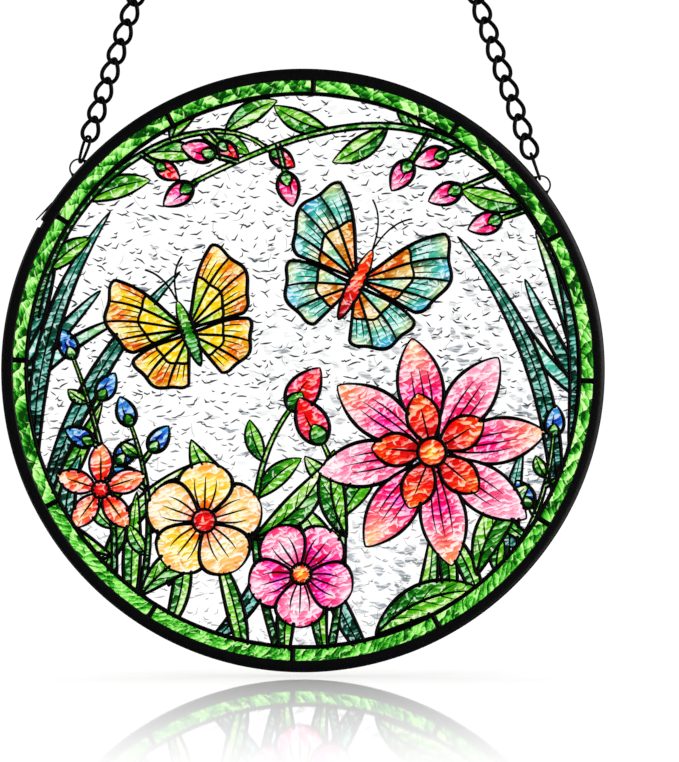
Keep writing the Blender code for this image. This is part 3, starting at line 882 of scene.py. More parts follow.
@dataclass(frozen=True)
class Paint:
    """A cell's colours from its root to its tip, with another tone on one side or towards its edge."""

    root: Tone
    middle: Tone
    tip: Tone
    shade: Tone | None = None
    split: bool = False

    def at(self, along: np.ndarray, across: np.ndarray, side: np.ndarray) -> np.ndarray:
        """The colour of each place in a cell.

        Args:
            along: The share of the way from root to tip.
            across: From -1 at one edge to 1 at the other.
            side: The same for the middle of the triangle it is in.

        Returns:
            One row of three values for each place.
        """
        stops = np.array([self.root, self.middle, self.tip])
        share = np.clip(along, 0, 1) ** 0.9
        color = np.column_stack([np.interp(share, [0, 0.5, 1], stops[:, c]) for c in range(3)])
        if self.shade is None:
            return color
        reach = (side < 0) * 0.85 if self.split else np.clip(np.abs(across), 0, 1) ** 2.2 * 0.75
        return color + (np.array(self.shade) - color) * reach[:, None]


@dataclass(frozen=True)
class Line:
    """A raised line: its path, its width, and the share of the width left at either end."""

    path: np.ndarray
    width: float
    start: float = 0.55
    end: float = 0.55
    closed: bool = False


@dataclass(frozen=True)
class Patch:
    """A cell of colour."""

    outline: np.ndarray
    paint: Paint
    spread: Spread


class Motif(ABC):
    """Something drawn in the picture, which hides what lies under it."""

    @abstractmethod
    def patches(self) -> list[Patch]:
        """Its cells of colour."""

    @abstractmethod
    def lines(self) -> list[Line]:
        """Its raised lines."""

    def covers(self) -> list[np.ndarray]:
        """The outlines that hide what lies under them."""
        return [patch.outline for patch in self.patches()]


@dataclass(frozen=True)
class Blade(Motif):
    """A petal, leaf or reed: a bent spine with a width that swells and closes along it."""

    base: Place
    heading: float
    length: float
    width: float
    paint: Paint
    bend: float = 0.0
    fullness: float = 0.8
    shoulder: float = 1.0
    rib: Stroke | None = None
    side_veins: int = 0
    long_veins: tuple[float, ...] = ()
    edge: Stroke = Stroke.LEAD
    samples: int = 26

    def spine(self, t: np.ndarray) -> tuple[np.ndarray, np.ndarray]:
        """Points on the spine and the directions square to it."""
        start = np.array(self.base, float)
        tip = point_at(self.base, self.heading, self.length)
        side = np.array([tip[1] - start[1], start[0] - tip[0]]) / self.length
        pull = (start + tip) / 2 - side * self.bend * self.length * 2
        t = np.asarray(t, float)[:, None]
        at = start * (1 - t) ** 2 + pull * 2 * t * (1 - t) + tip * t ** 2
        return at, square_to(unit((pull - start) * (1 - t) + (tip - pull) * t))

    def half_width(self, t: np.ndarray) -> np.ndarray:
        """Half the blade's width along its spine."""
        t = np.clip(t, 1e-6, 1 - 1e-6)
        return self.width / 2 * np.sin(np.pi * t ** self.shoulder) ** self.fullness

    def offset(self, t: np.ndarray, across: np.ndarray | float) -> np.ndarray:
        """Points at a share of the half width from the spine."""
        at, normal = self.spine(t)
        return at + normal * (self.half_width(t) * across)[:, None]

    def shares(self) -> np.ndarray:
        """Shares of the length, closer together at both ends."""
        return (1 - np.cos(np.linspace(0, np.pi, self.samples))) / 2

    def spread(self, points: np.ndarray) -> tuple[np.ndarray, np.ndarray]:
        """Where points lie along and across the blade."""
        t = np.linspace(0, 1, 33)
        at, normal = self.spine(t)
        near, away = nearest(points, at)
        off = np.sum(away * normal[near], axis=1)
        return t[near], off / np.maximum(self.half_width(t[near]), 1e-4)

    def patches(self) -> list[Patch]:
        """The one cell inside its edges."""
        t = self.shares()
        left, right = self.offset(t, 1.0), self.offset(t, -1.0)
        return [Patch(np.concatenate([left, right[-2:0:-1]]), self.paint, self.spread)]

    def lines(self) -> list[Line]:
        """Both edges, the rib and the veins."""
        t = self.shares()
        edges = [Line(self.offset(t, side), self.edge.value, 0.8, 0.45) for side in (1.0, -1.0)]
        if self.rib:
            edges.append(Line(self.offset(t, 0.0)[: -self.samples // 7], self.rib.value, 1.0, 0.35))
        for across in self.long_veins:
            vein = self.offset(np.linspace(0.06, 0.72 - 0.12 * abs(across), 16), across * 0.8)
            edges.append(Line(vein, Stroke.VEIN.value, 1.0, 0.3))
        for i in range(self.side_veins):
            here = 0.16 + 0.62 * i / self.side_veins
            for side in (1.0, -1.0):
                run = np.linspace(0, 1, 7)
                vein = self.offset(here + 0.17 * run, side * 0.72 * run)
                edges.append(Line(vein, Stroke.HAIR.value, 1.0, 0.3))
        return edges


@dataclass(frozen=True)
class Round(Motif):
    """A round cell, such as a flower's middle."""

    centre: Place
    radius: float
    paint: Paint
    edge: Stroke = Stroke.LEAD

    def ring(self) -> np.ndarray:
        """Its edge."""
        return np.array(self.centre) + self.radius * circle(40)

    def patches(self) -> list[Patch]:
        """The one cell inside its edge."""
        def spread(points: np.ndarray) -> tuple[np.ndarray, np.ndarray]:
            """Outwards from the middle."""
            away = np.linalg.norm(points - np.array(self.centre), axis=1) / self.radius
            return away, np.zeros(len(points))
        return [Patch(self.ring(), self.paint, spread)]

    def lines(self) -> list[Line]:
        """Its edge."""
        return [Line(self.ring(), self.edge.value, 1.0, 1.0, True)]


def along_curve(pulls: Sequence[Place], t: np.ndarray) -> np.ndarray:
    """Points at shares of a smooth curve from its first pull to its last, drawn towards those between."""
    row = [np.array(p, float)[None, :] for p in pulls]
    t = np.asarray(t, float)[:, None]
    while len(row) > 1:
        row = [a * (1 - t) + b * t for a, b in zip(row, row[1:])]
    return row[0]


def place_on(pulls: Sequence[Place], t: float) -> tuple[np.ndarray, float]:
    """The point and the heading in degrees at a share of a curve."""
    before, here, after = along_curve(pulls, np.array([t - 0.01, t, t + 0.01]))
    return here, math.degrees(math.atan2(after[1] - before[1], after[0] - before[0]))


@dataclass(frozen=True)
class Stalk(Motif):
    """A thin green stalk between two lines, narrowing towards its end."""

    pulls: Sequence[Place]
    width: float
    paint: Paint
    taper: float = 0.6
    samples: int = 40

    def edge(self, side: float) -> np.ndarray:
        """One side of the stalk."""
        t = np.linspace(0, 1, self.samples)
        at = along_curve(self.pulls, t)
        half = self.width / 2 * (1 - (1 - self.taper) * t)
        return at + square_to(unit(np.gradient(at, axis=0))) * (side * half)[:, None]

    def patches(self) -> list[Patch]:
        """The green between the two lines."""
        def spread(points: np.ndarray) -> tuple[np.ndarray, np.ndarray]:
            """Along the stalk by the nearest of its points."""
            t = np.linspace(0, 1, self.samples)
            near, _ = nearest(points, along_curve(self.pulls, t))
            return t[near], np.zeros(len(points))
        return [Patch(np.concatenate([self.edge(1.0), self.edge(-1.0)[::-1]]), self.paint, spread)]

    def lines(self) -> list[Line]:
        """Both sides."""
        return [Line(self.edge(side), Stroke.FINE.value, 1.0, 0.7) for side in (1.0, -1.0)]


@dataclass(frozen=True)
class Wing(Motif):
    """One wing of a butterfly: cells between veins from its root, and a row of cells along its margin."""

    root: Place
    heading: float
    side: int
    reach: float
    sweep: float
    waist: float
    veins: int
    band: float
    inner: Sequence[Paint]
    outer: Sequence[Paint]
    scallops: int = 2
    scallop_depth: float = 0.07
    bow: float = 6.0

    def span(self, share: np.ndarray) -> np.ndarray:
        """How far out the margin stands at shares of the way across, without its scallops."""
        return self.reach * (1 - self.waist * share - 0.10 * (2 * share - 1) ** 4)

    def point(self, out: np.ndarray, share: np.ndarray) -> np.ndarray:
        """Points at a share of the way out to the margin and of the way across the wing."""
        scallop = 1 - self.scallop_depth * np.sin(np.pi * share * self.scallops) ** 2
        bow = self.bow * np.sin(np.pi * np.clip(out, 0, 1)) * (1 - share)
        angle = np.radians(self.heading + self.side * (self.sweep * share - bow))
        around = np.column_stack([np.cos(angle), np.sin(angle)])
        return np.array(self.root, float) + around * (out * self.span(share) * scallop)[:, None]

    def spread(self, points: np.ndarray) -> tuple[np.ndarray, np.ndarray]:
        """Where points lie out towards the margin and across the wing, both as shares."""
        away = points - np.array(self.root)
        angle = np.degrees(np.arctan2(away[:, 1], away[:, 0])) - self.heading
        share = np.clip(self.side * ((angle + 180) % 360 - 180) / self.sweep, 0, 1)
        return np.linalg.norm(away, axis=1) / self.span(share), share

    def cell(self, low: float, high: float, first: float, last: float, paint: Paint) -> Patch:
        """The cell between two shares out and two across."""
        steps = np.linspace(0, 1, 10)
        rising, across = low + (high - low) * steps, first + (last - first) * steps
        sides = [self.point(rising, np.full(10, first)), self.point(np.full(10, high), across),
                 self.point(rising[::-1], np.full(10, last)), self.point(np.full(10, low), across[::-1])]

        def spread(points: np.ndarray) -> tuple[np.ndarray, np.ndarray]:
            """The share of the way through this cell, out and across."""
            out, share = self.spread(points)
            return (out - low) / (high - low), 2 * (share - first) / (last - first) - 1
        return Patch(np.concatenate([side[:-1] for side in sides]), paint, spread)

    def margin(self) -> np.ndarray:
        """The whole wing's outline."""
        rising, across = np.linspace(0, 1, 18), np.linspace(0, 1, 40)
        sides = [self.point(rising, np.zeros(18)), self.point(np.ones(40), across),
                 self.point(rising[::-1], np.ones(18))]
        return np.concatenate([side[:-1] for side in sides])

    def covers(self) -> list[np.ndarray]:
        """The whole wing."""
        return [self.margin()]

    def patches(self) -> list[Patch]:
        """The cells from the root and those along the margin."""
        cells = []
        for i in range(self.veins):
            first, last = i / self.veins, (i + 1) / self.veins
            cells.append(self.cell(0.02, self.band, first, last, self.inner[i % len(self.inner)]))
            cells.append(self.cell(self.band, 1.0, first, last, self.outer[i % len(self.outer)]))
        return cells

    def lines(self) -> list[Line]:
        """The outline, the veins and the band, with two hairs in each margin cell."""
        drawn = [Line(self.margin(), Stroke.LEAD.value, 1.0, 1.0, True)]
        for i in range(1, self.veins):
            vein = self.point(np.linspace(0.02, 1, 20), np.full(20, i / self.veins))
            drawn.append(Line(vein, Stroke.FINE.value, 0.8, 0.7))
        band = self.point(np.full(40, self.band), np.linspace(0, 1, 40))
        drawn.append(Line(band, Stroke.FINE.value, 1.0, 1.0))
        for i in range(self.veins):
            for place in (0.33, 0.67):
                out = np.linspace(self.band, self.band + (1 - self.band) * 0.7, 8)
                hair = self.point(out, np.full(8, (i + place) / self.veins))
                drawn.append(Line(hair, Stroke.HAIR.value, 1.0, 0.3))
        return drawn


@dataclass(frozen=True)
class Strokes(Motif):
    """Lines alone, such as antennae, tendrils and stamens."""

    drawn: Sequence[Line]

    def patches(self) -> list[Patch]:
        """None."""
        return []

    def lines(self) -> list[Line]:
        """The lines as given."""
        return list(self.drawn)


def whorl(centre: Place, petals: int, start: float, hollow: float, length: float, width: float,
          paints: Sequence[Paint], **shape: object) -> list[Motif]:
    """Petals set evenly round a middle.

    Args:
        centre: The flower's middle.
        petals: How many there are.
        start: The first one's heading in degrees.
        hollow: How far from the middle they start.
        length: A petal's length.
        width: Its width.
        paints: Their paints, taken in turn.
        shape: Further fields of each blade.

    Returns:
        The petals.
    """
    made = []
    for i in range(petals):
        heading = start + 360 * i / petals
        base = point_at(centre, heading, hollow)
        made.append(Blade(base, heading, length, width, paints[i % len(paints)], **shape))
    return made


@dataclass(frozen=True)
class Picture:
    """The whole design: butterflies over a bank of flowers, reeds and arching branches of buds."""

    stalk_green: Paint = Paint(LEAF_DEEP, LEAF, LEAF_LIGHT)
    teal_reed: Paint = Paint(TEAL_DEEP, TEAL, AQUA, TEAL_DEEP)
    pale_reed: Paint = Paint(TEAL, AQUA, LEAF_PALE, TEAL)
    green_leaf: Paint = Paint(LEAF_DEEP, LEAF, LEAF_LIGHT, LEAF_LIGHT, True)
    light_leaf: Paint = Paint(LEAF, LEAF_LIGHT, LEAF_PALE, LEAF, True)
    pink_bud: Paint = Paint(RED, MAGENTA, BLUSH, PINK)
    red_bud: Paint = Paint(WINE, RED, RED, PINK)
    blue_bud: Paint = Paint(SKY, BLUE, SKY, SKY)

    def reeds(self) -> list[Motif]:
        """Blades at both sides: fans of narrow ones, and broad ones in front of them."""
        made: list[Motif] = []
        made += self.tuft((-1.08, -0.16), 78, 40, 4, 0.84)
        made += self.tuft((1.06, -0.10), 98, 132, 4, 0.84)
        places = (
            ((-0.96, -0.40), 76, 0.98, 0.09), ((-0.93, -0.54), 62, 1.00, 0.07),
            ((0.98, -0.24), 100, 0.88, -0.09), ((0.94, -0.52), 111, 1.10, -0.10),
        )
        return made + [Blade(base, heading, length, 0.062, self.teal_reed, bend, 0.7, 0.8, rib=Stroke.VEIN)
                       for base, heading, length, bend in places]

    def tuft(self, root: Place, first: float, last: float, count: int, length: float) -> list[Motif]:
        """Narrow blades that fan out from a root.

        Args:
            root: Where they start.
            first: The first one's heading in degrees.
            last: The last one's.
            count: How many there are.
            length: The longest one's length.

        Returns:
            The blades.
        """
        made: list[Motif] = []
        for i in range(count):
            share = i / (count - 1)
            reach = length * (0.80 + 0.20 * math.sin(5.3 * i + 1))
            base = point_at(root, first - 90, 0.05 * (share - 0.5))
            paint = self.pale_reed if i % 2 else self.teal_reed
            heading, bend = first + (last - first) * share, 0.16 * (share - 0.5)
            made.append(Blade(base, heading, reach, 0.046, paint, bend, fullness=0.6, shoulder=0.9))
        return made

    def undergrowth(self) -> list[Motif]:
        """Sword leaves that rise from the border along the foot of the picture."""
        made: list[Motif] = []
        paints = (self.green_leaf, self.teal_reed, self.light_leaf, self.green_leaf)
        for i in range(15):
            around = 212 + 8.1 * i
            lean = 0.4 * (around - 270) + 22 * math.sin(2.3 * i)
            length = 0.46 + 0.13 * math.sin(4.1 * i)
            made.append(Blade(point_at((0, 0), around, 1.07), 90 + lean, length, 0.062, paints[i % 4],
                              0.12 * math.sin(i), fullness=0.75, shoulder=0.85, rib=Stroke.VEIN))
        return made

    def bud(self, base: Place, heading: float, size: float, paint: Paint) -> list[Motif]:
        """A closed bud with a green cup at its foot."""
        petal = Blade(base, heading, size, size * 0.6, paint, fullness=0.75, shoulder=0.8,
                      long_veins=(0.25,))
        cup = Blade(base, heading, size * 0.42, size * 0.34, self.stalk_green, fullness=0.7, shoulder=0.8,
                    edge=Stroke.FINE)
        return [petal, cup]

    def sprig(self, pulls: Sequence[Place], width: float, leaves: Sequence[Shoot], buds: Sequence[Shoot],
              size: float, paint: Paint) -> list[Motif]:
        """A stem with leaves and stalked buds.

        Args:
            pulls: The stem's curve.
            width: Its width.
            leaves: For each its place as a share of the stem, its turn from it in degrees and its length.
            buds: The same, with the length of its stalk.
            size: A bud's length.
            paint: The buds' paint.

        Returns:
            The leaves, the stem and the buds.
        """
        made: list[Motif] = []
        for t, turn, length in leaves:
            base, heading = place_on(pulls, t)
            made.append(Blade(base, heading + turn, length, 0.022 + length * 0.24, self.green_leaf, 0.06,
                              rib=Stroke.VEIN, edge=Stroke.FINE))
        made.append(Stalk(pulls, width, self.stalk_green, 0.5, 90))
        for t, turn, stalk in buds:
            base, heading = place_on(pulls, t)
            end = point_at(base, heading + turn, stalk)
            if stalk:
                made.append(Stalk((base, end), 0.016, self.stalk_green, 1.0))
            made += self.bud(end, heading + turn, size, paint)
        return made

    def branches(self) -> list[Motif]:
        """The arching branch of pink buds, and a lower one of red buds beside it."""
        low = ((-0.98, 0.16), (-0.90, 0.74), (-0.36, 0.98), (-0.16, 0.80))
        low_leaves = tuple((0.10 + 0.10 * i, 36 if i % 2 else -32, 0.20 + 0.02 * (i % 3)) for i in range(8))
        low_buds = ((0.50, -64, 0.06), (0.74, -52, 0.05), (0.98, 6, 0.03))
        high = ((0.97, 0.30), (0.62, 1.16), (0.02, 0.92), (-0.44, 0.66))
        high_leaves = ((0.16, 40, 0.24), (0.52, 36, 0.24), (0.66, -36, 0.22), (0.34, -30, 0.17),
                       (0.08, -32, 0.20), (0.44, -40, 0.14))
        high_buds = ((0.24, 66, 0.14), (0.42, 74, 0.12), (0.78, 84, 0.10), (0.88, -40, 0.08),
                     (0.98, 10, 0.02), (0.33, 48, 0.06), (0.15, 74, 0.10))
        return (self.sprig(low, 0.024, low_leaves, low_buds, 0.105, self.red_bud)
                + self.sprig(high, 0.028, high_leaves, high_buds, 0.13, self.pink_bud))

    def butterfly(self, centre: Place, heading: float, span: float, inner: Sequence[Paint],
                  outer: Sequence[Paint], body: Paint) -> list[Motif]:
        """A butterfly seen from above.

        Args:
            centre: The middle of its body.
            heading: Where its head points, in degrees.
            span: The size that its wings and body are shares of.
            inner: Paints of the cells next to the body.
            outer: Paints of the cells along the margin.
            body: The body's paint.

        Returns:
            Its wings, feelers and body.
        """
        made: list[Motif] = []
        shoulder = point_at(centre, heading, span * 0.03)
        for side in (1, -1):
            made.append(Wing(centre, heading + side * 96, side, reach=span * 0.44, sweep=64, waist=0.16,
                             veins=3, band=0.56, inner=inner[::-1], outer=outer))
            made.append(Wing(shoulder, heading + side * 36, side, reach=span * 0.62, sweep=58, waist=0.30,
                             veins=4, band=0.60, inner=inner, outer=outer))
        head = point_at(centre, heading, span * 0.20)
        feelers = []
        for side in (1, -1):
            tip = point_at(head, heading + side * 24, span * 0.30)
            pulls = (head, point_at(head, heading + side * 4, span * 0.2), tip)
            feelers.append(Line(along_curve(pulls, np.linspace(0, 1, 20)), Stroke.VEIN.value, 0.8, 1.3))
        made.append(Strokes(feelers))
        tail = point_at(centre, heading + 180, span * 0.22)
        made.append(Blade(tail, heading, span * 0.44, span * 0.09, body, fullness=0.6, edge=Stroke.FINE))
        return made

    def bank(self) -> list[Motif]:
        """The lower half: tulips, sprays of blue buds and ribbed leaves."""
        made = self.undergrowth()
        tulips = (((-0.06, -1.0), (-0.26, -0.46), (-0.04, -0.14)),
                  ((0.14, -1.0), (0.22, -0.50), (0.08, -0.26)))
        blades = ((0.35, 40, 0.26), (0.55, -42, 0.22), (0.72, 36, 0.16))
        for pulls in tulips:
            made += self.sprig(pulls, 0.026, blades, ((0.99, 0, 0.0),), 0.19, self.red_bud)
        sprays = (
            ((-0.66, -0.76), (-0.66, -0.40), (-0.84, 0.02)),
            ((-0.56, -0.84), (-0.50, -0.50), (-0.62, -0.22)),
            ((0.62, -0.80), (0.90, -0.62), (0.92, -0.20)),
        )
        leaves = ((0.22, 36, 0.13), (0.34, -38, 0.13), (0.80, 40, 0.09))
        buds = ((0.60, 50, 0.03), (0.99, 0, 0.0), (0.46, -46, 0.06), (0.76, -48, 0.05))
        for pulls in sprays:
            made += self.sprig(pulls, 0.020, leaves, buds, 0.115, self.blue_bud)
        leaves = (
            ((-0.67, -0.70), 150, 0.30, 0.095, 0.1), ((-0.46, -0.80), 100, 0.36, 0.10, -0.1),
            ((-0.17, -0.52), 132, 0.34, 0.10, 0.1), ((-0.16, -0.62), 48, 0.38, 0.10, -0.1),
            ((0.30, -0.95), 24, 0.42, 0.12, 0.12), ((0.66, -0.72), 62, 0.38, 0.11, 0.1),
            ((0.18, -0.60), 100, 0.32, 0.095, 0.1), ((-0.56, -0.84), 34, 0.36, 0.10, 0.1),
        )
        for i, (base, heading, length, width, bend) in enumerate(leaves):
            paint = self.light_leaf if i % 2 else self.green_leaf
            made.append(Blade(base, heading, length, width, paint, bend, rib=Stroke.FINE, side_veins=4))
        return made

    def blossom(self, centre: Place, size: float, start: float, paints: Sequence[Paint],
                middle: Paint) -> list[Motif]:
        """A five-petalled blossom with a round middle."""
        petals = whorl(centre, 5, start, 0.02, size, size * 1.02, paints, fullness=0.55, shoulder=1.35,
                       long_veins=(-0.5, 0.0, 0.5))
        return petals + [Round(centre, size * 0.22, middle, Stroke.FINE)]

    def flowers(self) -> list[Motif]:
        """The open bloom, the blossoms and a small star-shaped flower."""
        bloom, star = (0.48, -0.28), (-0.72, -0.46)
        outer = (Paint(RED, MAGENTA, PEACH, BLUSH), Paint(MAGENTA, PINK, BLUSH, BLUSH),
                 Paint(RED, MAGENTA, CREAM, PINK))
        made = whorl(star, 5, 20, 0.02, 0.15, 0.085, (Paint(RED, ORANGE, PEACH, PINK),), fullness=0.7,
                     long_veins=(0.0,), edge=Stroke.FINE)
        made.append(Round(star, 0.032, Paint(RED, RED, WINE), Stroke.FINE))
        made += whorl(bloom, 8, 12, 0.05, 0.37, 0.165, outer, fullness=0.75, shoulder=1.05,
                      long_veins=(-0.55, -0.1, 0.4))
        made += whorl(bloom, 5, 34, 0.03, 0.19, 0.12, (Paint(WINE, RED, ORANGE, RED),), fullness=0.7,
                      shoulder=1.1, long_veins=(0.0,))
        made.append(Round(bloom, 0.052, Paint(YELLOW, ORANGE, RED)))
        peach = (Paint(RED, CREAM, PEACH, PEACH), Paint(RED, YELLOW, PEACH, CREAM))
        pink = (Paint(WINE, MAGENTA, BLUSH, MAGENTA), Paint(MAGENTA, BLUSH, PINK, MAGENTA))
        made += self.blossom((-0.34, -0.56), 0.195, 18, peach, Paint(RED, RED, WINE))
        made += self.blossom((0.02, -0.74), 0.175, 54, pink, Paint(YELLOW, ORANGE, RED))
        return made

    def motifs(self) -> list[Motif]:
        """Everything in the picture, lowest first."""
        warm = (Paint(RED, ORANGE, GOLD), Paint(ORANGE, GOLD, CREAM), Paint(TEAL, AQUA, CREAM))
        cool = (Paint(AQUA, AQUA, CREAM, TEAL), Paint(CREAM, AQUA, SKY, TEAL))
        sunny = (Paint(LEAF, LEAF_LIGHT, YELLOW), Paint(LEAF_LIGHT, YELLOW, YELLOW),
                 Paint(ORANGE, YELLOW, YELLOW))
        golden = (Paint(YELLOW, YELLOW, CREAM, ORANGE), Paint(YELLOW, ORANGE, GOLD, YELLOW))
        made = self.reeds() + self.branches()
        made += self.butterfly((0.18, 0.32), 66, 0.64, warm, cool, Paint(WINE, RED, ORANGE))
        made += self.butterfly((-0.42, 0.12), 112, 0.57, sunny, golden, Paint(LEAF_DEEP, LEAF, LEAF_LIGHT))
        return made + self.bank() + self.flowers()


def inside(points: np.ndarray, ring: np.ndarray) -> np.ndarray:
    """Which points lie inside a closed outline.

    Args:
        points: The points.
        ring: The outline's corners.

    Returns:
        True for each that does.
    """
    found = np.zeros(len(points), bool)
    near = np.flatnonzero(np.all((points >= ring.min(axis=0)) & (points <= ring.max(axis=0)), axis=1))
    if len(near):
        x, y = points[near, 0][:, None], points[near, 1][:, None]
        (ax, ay), (bx, by) = ring.T, np.roll(ring, -1, axis=0).T
        rise = np.where(by == ay, 1.0, by - ay)
        crosses = ((ay > y) != (by > y)) & (x < (bx - ax) * (y - ay) / rise + ax)
        found[near] = crosses.sum(axis=1) % 2 == 1
    return found


@dataclass(frozen=True)
class PictureGlass:
    """The round pane: hammered on its front, smooth behind, painted cell by cell."""

    disc: Disc
    picture: Picture
    spacing: float = 0.95 * MM
    hammer: float = 0.26 * MM
    dent_length: float = 5.2 * MM
    dent_height: float = 3.9 * MM
    dent_cells: int = 96
    dent_seed: int = 4
    set_back: float = 0.12 * MM
    flat_edge: float = 1.2 * MM
    rim_steps: int = 288

    def radius(self) -> float:
        """The pane's radius, just inside the border ring's core."""
        return self.disc.ring_middle - self.disc.core / 2 - self.disc.clearance

    def grid(self) -> np.ndarray:
        """Points spread evenly over the pane."""
        reach = self.radius() - 0.5 * self.spacing
        rows = int(reach / self.spacing / math.sqrt(0.75))
        points = []
        for row in range(-rows, rows + 1):
            z = row * self.spacing * math.sqrt(0.75)
            half = math.sqrt(max(reach ** 2 - z ** 2, 0))
            xs = np.arange(-int(half / self.spacing), int(half / self.spacing) + 1) * self.spacing
            xs = xs + (row % 2) * self.spacing / 2
            points.append(np.column_stack([xs, np.full(len(xs), z)])[np.abs(xs) < half])
        return np.concatenate(points)

    def hammered(self, points: np.ndarray) -> np.ndarray:
        """How far the front stands out: dents scattered one to a cell, with ridges between them."""
        cells = self.dent_cells
        scatter = np.random.default_rng(self.dent_seed).random((cells, cells, 3))
        at = points / np.array([self.dent_length, self.dent_height]) + cells / 2
        base = np.floor(at).astype(int)
        closest = np.full(len(points), 9.0)
        for dx in (-1, 0, 1):
            for dz in (-1, 0, 1):
                cell = base + (dx, dz)
                draw = scatter[cell[:, 0] % cells, cell[:, 1] % cells]
                away = np.linalg.norm(at - cell - draw[:, :2], axis=1) * (0.8 + 0.5 * draw[:, 2])
                closest = np.minimum(closest, away)
        return self.hammer * np.clip(closest, 0, 1) ** 1.6

    def triangles(self, patches: Sequence[Patch]) -> tuple[np.ndarray, np.ndarray, list[int]]:
        """Cuts the pane along its cells.

        Args:
            patches: The cells, lowest first.

        Returns:
            The corners in metres, the triangles, and for each the number of its topmost cell plus one.
        """
        rings = [self.radius() * circle(self.rim_steps)]
        for patch in patches:
            ring = patch.outline * self.disc.field
            after = np.roll(ring, -1, axis=0)
            area = np.sum(ring[:, 0] * after[:, 1] - ring[:, 1] * after[:, 0])
            rings.append(ring if area > 0 else ring[::-1])
        grid = self.grid()
        points = np.concatenate(rings + [grid]) / MM
        faces, first = [], 0
        for ring in rings:
            faces.append(list(range(first, first + len(ring))))
            first += len(ring)
        corners, _, triangles, _, _, owners = delaunay_2d_cdt(
            [Vector(p) for p in points], [], faces, 1, 1e-3, True)
        kept = [(t, max(o)) for t, o in zip(triangles, owners) if 0 in o]
        corners = np.array([tuple(c) for c in corners]) * MM
        return corners, np.array([t for t, _ in kept]), [top for _, top in kept]

    def tints(self, corners: np.ndarray, triangles: np.ndarray, tops: Sequence[int],
              patches: Sequence[Patch]) -> np.ndarray:
        """The paint at every triangle's corners, with no strength in the clear ground."""
        colors = np.ones((len(triangles), 3, 4))
        colors[:, :, 3] = 0
        tops = np.array(tops)
        for number, patch in enumerate(patches, 1):
            mine = np.nonzero(tops == number)[0]
            if not len(mine):
                continue
            places = corners[triangles[mine]] / self.disc.field
            along, across = patch.spread(places.reshape(-1, 2))
            _, side = patch.spread(places.mean(axis=1))
            rgb = patch.paint.at(along, across, np.repeat(side, 3))
            colors[mine, :, :3] = rgb.reshape(-1, 3, 3)
            colors[mine, :, 3] = 1
        return colors

    def build(self) -> list[bpy.types.Object]:
        """Makes the pane and paints it."""
        patches = [patch for motif in self.picture.motifs() for patch in motif.patches()]
        corners, triangles, tops = self.triangles(patches)
        reach = np.linalg.norm(corners, axis=1)
        inwards = np.clip((self.radius() - reach) / self.flat_edge, 0, 1)
        front = (self.hammer - self.hammered(corners) - self.set_back) * inwards - self.disc.glass / 2
        back = np.full(len(corners), self.disc.glass / 2)
        count = len(corners)
        points = np.concatenate([np.column_stack([corners[:, 0], depth, corners[:, 1]])
                                 for depth in (front, back)])
        owned = {(a, b) for t in triangles.tolist() for a, b in zip(t, t[1:] + t[:1])}
        edge = [(a, b) for a, b in owned if (b, a) not in owned]
        faces = triangles.tolist() + (triangles[:, ::-1] + count).tolist()
        faces += [(b, a, a + count, b + count) for a, b in edge]
        body = Body()
        body.take(points, faces)
        material = HammeredGlass().material(self.disc.centre)
        piece = make_piece("painted_pane", self.disc.stand(body), material, ["picture_glass"])
        colors = self.tints(corners, triangles, tops, patches)
        wall = np.tile(np.array([1.0, 1.0, 1.0, 0.0]), (len(edge), 4, 1))
        layer = piece.data.color_attributes.new(TINT, "FLOAT_COLOR", "CORNER")
        values = [colors.ravel(), colors[:, ::-1].ravel(), wall.ravel()]
        layer.data.foreach_set("color", np.concatenate(values))
        return [piece]


